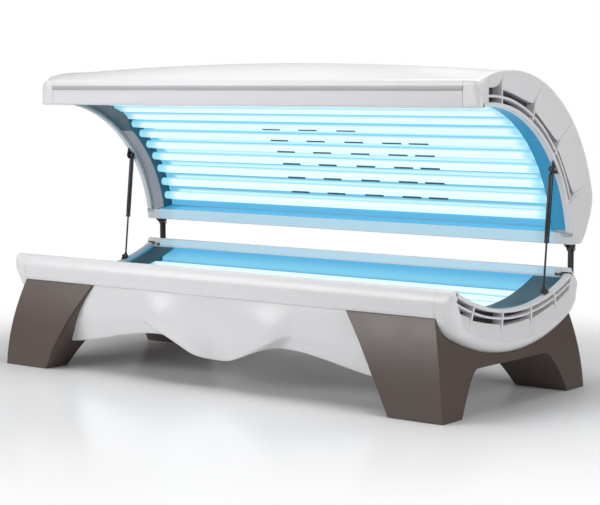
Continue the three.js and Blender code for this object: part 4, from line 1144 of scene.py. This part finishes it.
class TANBED_OT_bed_caps(bpy.types.Operator):
    """Builds the bed's vented end caps"""

    bl_idname = "tanbed.bed_caps"
    bl_label = "Bed end caps"

    def execute(self, context):
        dress_caps(bed_cap, "base", "bed")
        return {"FINISHED"}


class TANBED_OT_canopy(bpy.types.Operator):
    """Builds the canopy's skin, rails and stripe"""

    bl_idname = "tanbed.canopy"
    bl_label = "Canopy skin and rails"

    def execute(self, context):
        """Rails and stripe are closed outlines carried along x."""
        self.skin()
        low_angle, high_angle = CANOPY_ANGLES
        lip_end = spot(CANOPY_CENTRE, CANOPY_RADIUS - LIP, high_angle)
        tuck = spot(ROOF_CENTRE, ROOF_RADIUS - RAIL_TUCK, roof_angle())
        back_z = tuck[1] - TUCK_DROP
        back_y = CANOPY_CENTRE[0] + (back_z - CANOPY_CENTRE[1]) / math.tan(math.radians(high_angle))
        outline = np.vstack([canopy_rail_face(), lip_end, [back_y, back_z], tuck])
        front = carried("canopy_front_rail_skin", outline)
        dress(soften(front, EDGE_ROUND), "white_moulding", "canopy", SHELL_SLOT, "canopy_front_rail")
        corners = [(corner[1] * MM - SHIFT_Y, corner[2] * MM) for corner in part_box("canopy_stripe")]
        stripe = carried("canopy_stripe_skin", rounded_box(*corners, STRIPE_ROUND))
        dress(stripe, "grey_trim", "canopy", "grey_trim", "canopy_stripe")
        foot, heel = canopy_back()[:2]
        ends = [spot(CANOPY_CENTRE, CANOPY_RADIUS + out, low_angle) for out in (HEEL_SEAT, -LIP)]
        outline = np.vstack([foot, heel, heel + [0.0, HEEL_WALL], *ends])
        rear = carried("canopy_rear_rail_skin", outline)
        dress(soften(rear, HEEL_ROUND, 3), "white_moulding", "canopy", SHELL_SLOT, "canopy_rear_rail")
        return {"FINISHED"}

    def skin(self):
        """Roof and back carried along x; the roof rises by crown (1 - x squared) (1 - v to the fourth)."""
        back = canopy_back()[1:]
        back[0, 0] += GAP
        roof = arc(ROOF_CENTRE, ROOF_RADIUS, ROOF_START, roof_angle() - SEAM_ANGLE, 72)
        path = np.vstack([back[:-1], roof])
        over = np.concatenate([np.zeros(len(back) - 1), np.linspace(0.0, 1.0, len(roof))])
        share = np.where(over > 0.0, 1.0 - (2.0 * over - 1.0) ** 4, 0.0)
        x = np.linspace(-SKIN_HALF, SKIN_HALF, 65)
        rise = shape().crown * MM * (1.0 - (x / SKIN_HALF) ** 2)
        outward = path - ROOF_CENTRE
        outward /= np.hypot(outward[:, 0], outward[:, 1])[:, None]
        lift = rise[:, None, None] * share[None, :, None] * outward[None]
        section = np.concatenate([path + lift, (left_of(path, SKIN) + lift)[:, ::-1]], axis=1)
        skin = make("canopy_skin", closed(grid_of(x[:, None], section[:, :, 0], section[:, :, 1])))
        dress(skin, "white_moulding", "canopy", SHELL_SLOT, "canopy_shell")


class TANBED_OT_canopy_caps(bpy.types.Operator):
    """Builds the canopy's ribbed and vented end caps"""

    bl_idname = "tanbed.canopy_caps"
    bl_label = "Canopy end caps"

    def execute(self, context):
        dress_caps(canopy_cap, "canopy", "canopy")
        return {"FINISHED"}


class TANBED_OT_lamps(bpy.types.Operator):
    """Builds the lamps, reflectors, lamp holders and clear sheets"""

    bl_idname = "tanbed.lamps"
    bl_label = "Lamps and clear sheets"

    def execute(self, context):
        bed_angles = -90.0 + (np.arange(BED_LAMPS) - (BED_LAMPS - 1) / 2.0) * BED_STEP
        canopy_angles = CANOPY_FIRST + np.arange(CANOPY_LAMPS) * CANOPY_STEP
        self.row("bed", "base", BED_CENTRE, BED_LAMP_ARC, bed_angles)
        self.row("canopy", "canopy", CANOPY_CENTRE, CANOPY_LAMP_ARC, canopy_angles)
        self.sheets()
        self.ends()
        self.rail_films()
        self.air_slots()
        return {"FINISHED"}

    def row(self, name, body, centre, radius, angles):
        """Tubes along x: each is a circle carried along a profile with a slimmer cap at its ends.

        The UV's v is 1 on the side towards the user and -1 on the reflector's.
        """
        shoulder = LAMP_HALF - shape().lamp_cap * MM
        x = np.array([-LAMP_HALF, -shoulder, 2.0 - shoulder, shoulder - 2.0, shoulder, LAMP_HALF])[:, None]
        r = np.array([LAMP_CAP_RADIUS] * 2 + [LAMP_RADIUS] * 2 + [LAMP_CAP_RADIUS] * 2)[:, None]
        turn = np.linspace(0.0, 2.0 * np.pi, 28, endpoint=False)
        middles = [spot(centre, radius, angle) for angle in angles]
        lamps = make(
            f"{name}_lamps",
            closed(*(grid_of(x, y + r * np.cos(turn), z + r * np.sin(turn)) for y, z in middles)),
        )
        lay_sheet(lamps, (radius - np.hypot(*offset_from(centre, lamps))) / LAMP_RADIUS)
        nodes = [f"{name}_lamp_{i + 1:02d}" for i in range(len(angles))]
        dress(lamps, "lamp_glass", body, "lamp_glass", *nodes)

    def sheets(self):
        """Clear sheets and reflectors: arcs of even thickness carried along x."""
        glass, mirror = ("clear_acrylic", "clear_acrylic"), ("lit_reflector", "reflector")
        behind = (REFLECTOR_DEPTH, REFLECTOR_BACK)
        for node, body, look, slot, outline, half in (
            ("bed_acrylic", "base", *glass, bed_layer(0.0, ACRYLIC, GAP), LEDGE_END - GAP),
            ("bed_reflector", "base", *mirror, bed_layer(*behind, PANEL_DEPTH), LAMP_HALF),
            ("canopy_acrylic", "canopy", *glass, canopy_layer(0.0, ACRYLIC, SEAM_ANGLE), LEDGE_END - GAP),
            ("canopy_reflector", "canopy", *mirror, canopy_layer(*behind, REFLECTOR_ANGLE), LAMP_HALF),
        ):
            sheet = carried(node + "_sheet", outline, np.linspace(-half, half, 5))
            if look == "lit_reflector":
                lay_sheet(sheet, self.numbers(sheet, body))
            dress(sheet, look, body, slot, node)

    def numbers(self, sheet, body):
        """Lamp's number round a reflector, with the bed's last part moved on to the canopy's count."""
        y, z = offset_from(CANOPY_CENTRE if body == "canopy" else BED_CENTRE, sheet)
        turn = np.degrees(np.arctan2(z, y))
        if body == "canopy":
            return (turn - CANOPY_FIRST) / CANOPY_STEP + 0.5
        number = (turn + 90.0) / BED_STEP + BED_LAMPS / 2.0
        return np.where(number > BED_LAMPS - 0.1, number + (CANOPY_LAMPS - BED_LAMPS), number)

    def ends(self):
        """Slate panels over the bed's lamp ends, the holder bars of both rows, and films at their ends, some
        of them glowing with painted lamplight.
        """
        panel = bed_layer(PANEL_DEPTH, PANEL_BACK, PANEL_DEPTH)
        bar = bed_layer(PANEL_BACK, HOLDER_BACK, PANEL_DEPTH)
        film = bed_layer(ACRYLIC + FILM_NEAR, ACRYLIC + FILM_FAR, PANEL_DEPTH)
        canopy_bar = canopy_layer(PANEL_DEPTH, HOLDER_BACK, REFLECTOR_ANGLE)
        seam = LEDGE_END - STRIP_LENGTH
        for label, side in SIDES:
            along_bar = side * np.array([SKIN_HALF - HOLDER_LENGTH, SKIN_HALF])
            grids = (
                along_x(panel, side * np.linspace(SKIN_HALF - PANEL_LENGTH, SKIN_HALF, 3)),
                along_x(bar, along_bar),
                along_x(film, side * np.array([SKIN_HALF, seam])),
            )
            slate = make(f"bed_end_panel_{label}", closed(*grids))
            dress(slate, "slate_panel", "base", "dark_panel", f"bed_lampholder_{label}")
            # The strip at the end of the bed's clear sheet glows with painted lamplight.
            strip = carried(f"bed_end_strip_{label}", film, side * np.array([seam, LEDGE_END - GAP]))
            dress(strip, "blue_band_lamplight", "base", "dark_panel")
            holder = carried(f"canopy_holder_{label}", canopy_bar, along_bar)
            dress(holder, "slate_panel", "canopy", "dark_panel", f"canopy_lampholder_{label}")
            # The right end's films glow with painted lamplight, and the left end's are plain colours.
            for part, angles in CANOPY_END_ANGLES.items():
                look, grow = CANOPY_END_LOOKS[label, part]
                end = self.canopy_film(f"canopy_end_{part}_{label}", side, *angles, grow)
                dress(end, look, "canopy", "dark_panel")

    def canopy_film(self, name, side, low, high, grow):
        """Thin sheet behind the end of the canopy's clear sheet, wider by an eased amount higher up."""
        turn = np.linspace(low, high, 48)
        inner_x = SKIN_HALF - CANOPY_END_LAP - grow * ease(turn, low, low + CANOPY_END_EASE)
        outer_x = np.full_like(turn, LEDGE_END - GAP)
        x = np.stack([inner_x, outer_x, outer_x, inner_x], axis=1)
        near, far = CANOPY_RADIUS + (ACRYLIC + FILM_NEAR), CANOPY_RADIUS + (ACRYLIC + FILM_FAR)
        radius, turn = np.array([near, near, far, far]), np.radians(turn)[:, None]
        y, z = CANOPY_CENTRE[0] + radius * np.cos(turn), CANOPY_CENTRE[1] + radius * np.sin(turn)
        return make(name, closed(grid_of(side * x, y, z)))

    def air_slots(self):
        """Rows of short dark sheets behind the middle of the canopy's clear sheet, fewer in the top row:
        painted shade of the air slots.
        """
        grids = []
        for middle in SLOT_ROWS:
            depths = (ACRYLIC + FILM_NEAR, ACRYLIC + FILM_FAR)
            outline = canopy_band(*depths, middle - SLOT_TURN, middle + SLOT_TURN, 4)
            count = TOP_ROW_SLOTS if middle == SLOT_ROWS[-1] else len(SLOT_X)
            grids += [along_x(outline, np.array([x - SLOT_HALF, x + SLOT_HALF])) for x in SLOT_X[:count]]
        dress(make("canopy_air_slot_shade", closed(*grids)), "slate_panel", "canopy", "dark_panel")

    def rail_films(self):
        """Thin strips of painted lamplight on the rear rails' inner faces and on the ledges behind the clear
        sheets.
        """
        heel = spot(CANOPY_CENTRE, CANOPY_RADIUS - LIP, CANOPY_ANGLES[0])
        foot = canopy_back()[0]
        slope = (foot - heel) / np.hypot(*(foot - heel))
        normal = np.array([slope[1], -slope[0]])
        near, far = FILM_NEAR * normal, FILM_FAR * normal
        end = foot - CANOPY_FILM_SHORT * slope
        canopy_rail = np.array([heel + near, end + near, end + far, heel + far])
        turn = math.radians(CANOPY_ANGLES[0])
        radial = np.array([math.cos(turn), math.sin(turn)])
        normal = np.array([-math.sin(turn), math.cos(turn)])
        near, far = FILM_NEAR * normal, FILM_FAR * normal
        start, end = (CANOPY_CENTRE + (CANOPY_RADIUS + out) * radial for out in CANOPY_LEDGE_FILM)
        canopy_ledge = np.array([start + far, start + near, end + near, end + far])
        level = bed_arc(-1.0, BED_REAR, BED_REAR, 1)[0, 1]
        bed_rail = self.upright(level, rear_rail_face()[-1, 1] - BED_FILM_DROP)
        bed_ledge = self.upright(*(level - drop for drop in BED_LEDGE_FILM))
        for name, body, outline, look in (
            ("canopy_rail_lamplight_film", "canopy", canopy_rail, "painted_pale_lamplight"),
            ("bed_rail_lamplight_film", "base", bed_rail, "painted_pale_lamplight"),
            ("canopy_ledge_lamplight_film", "canopy", canopy_ledge, "painted_deep_lamplight"),
            ("bed_ledge_lamplight_film", "base", bed_ledge, "painted_deep_lamplight"),
        ):
            film = carried(name, outline, np.array([-SKIN_HALF, SKIN_HALF]))
            dress(film, look, body, SHELL_SLOT)

    def upright(self, low, high):
        """Outline of a film on the bed rear rail's inner face, between two heights."""
        near, far = BED_REAR - FILM_NEAR, BED_REAR - FILM_FAR
        return np.array([[near, low], [near, high], [far, high], [far, low]])


class TANBED_OT_hardware(bpy.types.Operator):
    """Builds the gas springs and finishes the hinges, gear and fan"""

    bl_idname = "tanbed.hardware"
    bl_label = "Hinges, springs and gear"

    def execute(self, context):
        """Springs are profiles of radius against distance from a pivot, turned about the spring's line."""
        run = STRUT_FOOT - STRUT_TOP
        way = run / float(np.hypot(*run))
        cylinder = [(0.1, 8), (5, 8), (5, 17), (7, 20), (9.4, 22), (10, 24), (10, 262), (9.2, 264)]
        cylinder += [(9.2, 268), (10, 270), (10, 285), (8.6, 287), (5, 287)]
        rod = [(0.1, 256), (3.2, 256), (4, 254), (4, 20), (6, 18), (6, 8), (0.1, 8)]
        for label, side in SIDES:
            for part, profile, pivot, heading, slot in (
                ("cylinder", cylinder, STRUT_TOP, way, "black_steel"),
                ("rod", rod, STRUT_FOOT, -way, "bright_steel"),
            ):
                parts = [*closed(self.turned(profile, pivot, heading, side)), self.eye(pivot, side)]
                piece = make(f"spring_{part}_{label}", parts)
                dress(piece, "black_paint", f"gas_{part}_{label}", slot, f"gas_spring_{part}_{label}")
            for node in ("hinge_post", "hinge_lug", "strut_foot"):
                paint(f"{node}_{label}", "black_paint")
            tab, bolt = self.tab(label, side)
            dress(tab, "black_paint", "canopy", "black_steel", f"strut_tab_{label}")
            dress(bolt, "ground_steel", "canopy", "bright_steel")
            paint(f"hinge_pin_{label}", "ground_steel")
        paint("gear_tray", "sheet_steel")
        paint("fan_rotor", "black_moulding")
        return {"FINISHED"}

    def tab(self, label, side):
        """Plate from the lip to a round nose about the upper pivot, with its stud and a bright bolt head."""
        outward = STRUT_TOP - CANOPY_CENTRE
        heading = math.degrees(math.atan2(outward[1], outward[0]))
        spread = math.degrees(TAB_FOOT / CANOPY_RADIUS)
        foot = arc(CANOPY_CENTRE, CANOPY_RADIUS - LIP - 0.5, heading - spread, heading + spread, 16)
        nose = arc(STRUT_TOP, TAB_NOSE, *(heading + turn for turn in TAB_SWEEP), 24)
        plate, stud, head = (
            along_x(outline, side * (STRUT_X + np.array(reach)))
            for outline, reach in (
                (np.vstack([foot, nose]), (8.3, 15.0)),
                (arc(STRUT_TOP, STUD_RADIUS, 0.0, 345.0, 24), (-8.0, 9.0)),
                (arc(STRUT_TOP, BOLT_RADIUS, 0.0, 345.0, 24), (14.5, 18.5)),
            )
        )
        tab = soften(make(f"strut_tab_{label}_plate", closed(plate, stud)), EDGE_ROUND)
        return tab, soften(make(f"strut_bolt_{label}", closed(head)), EDGE_ROUND)

    def turned(self, profile, origin, way, side):
        """Surface turned about a line from the origin: radius against distance along it."""
        radius, along = np.asarray(profile, dtype=float).T[:, :, None]
        turn = np.linspace(0.0, 2.0 * np.pi, 28, endpoint=False)
        out = radius * np.sin(turn)
        y, z = origin[0] + along * way[0] - out * way[1], origin[1] + along * way[1] + out * way[0]
        return grid_of(side * STRUT_X + radius * np.cos(turn), y, z)

    def eye(self, origin, side):
        """Ring about x: a closed section of radius and x, turned about the pivot."""
        section = rounded_box(EYE_LOW, EYE_HIGH, EYE_ROUND, 3)
        section[:, 1] += STRUT_X
        ring = ring_sweep(origin, (0.0, 352.5), section, side, 48)
        return ring, {"close_columns": True, "close_rows": True}


class TANBED_PT_panel(bpy.types.Panel):
    """Lists the bed's pieces and its finishes"""

    bl_idname = "TANBED_PT_panel"
    bl_label = "Tanning Bed"
    bl_space_type = "VIEW_3D"
    bl_region_type = "UI"
    bl_category = "Tanning Bed"

    def draw(self, context):
        for group in (context.scene.tanning_bed_looks, context.scene.tanning_bed_shape):
            for name in group.__annotations__:
                self.layout.prop(group, name)
        for operator in OPERATORS:
            self.layout.operator(operator.bl_idname)


OPERATORS = (
    TANBED_OT_stage,
    TANBED_OT_bed_rails,
    TANBED_OT_skirt,
    TANBED_OT_pedestals,
    TANBED_OT_bed_caps,
    TANBED_OT_canopy,
    TANBED_OT_canopy_caps,
    TANBED_OT_lamps,
    TANBED_OT_hardware,
)
CLASSES = (TanningBedLooks, TanningBedShape, *OPERATORS, TANBED_PT_panel)


def register():
    for item in CLASSES:
        bpy.utils.register_class(item)
    bpy.types.Scene.tanning_bed_looks = bpy.props.PointerProperty(type=TanningBedLooks)
    bpy.types.Scene.tanning_bed_shape = bpy.props.PointerProperty(type=TanningBedShape)


def unregister():
    del bpy.types.Scene.tanning_bed_shape
    del bpy.types.Scene.tanning_bed_looks
    for item in reversed(CLASSES):
        bpy.utils.unregister_class(item)


def main():
    register()
    bpy.ops.tanbed.stage()
    bpy.ops.tanbed.bed_rails()
    bpy.ops.tanbed.skirt()
    bpy.ops.tanbed.pedestals()
    bpy.ops.tanbed.bed_caps()
    bpy.ops.tanbed.canopy()
    bpy.ops.tanbed.canopy_caps()
    bpy.ops.tanbed.lamps()
    bpy.ops.tanbed.hardware()


if __name__ == "__main__":
    main()
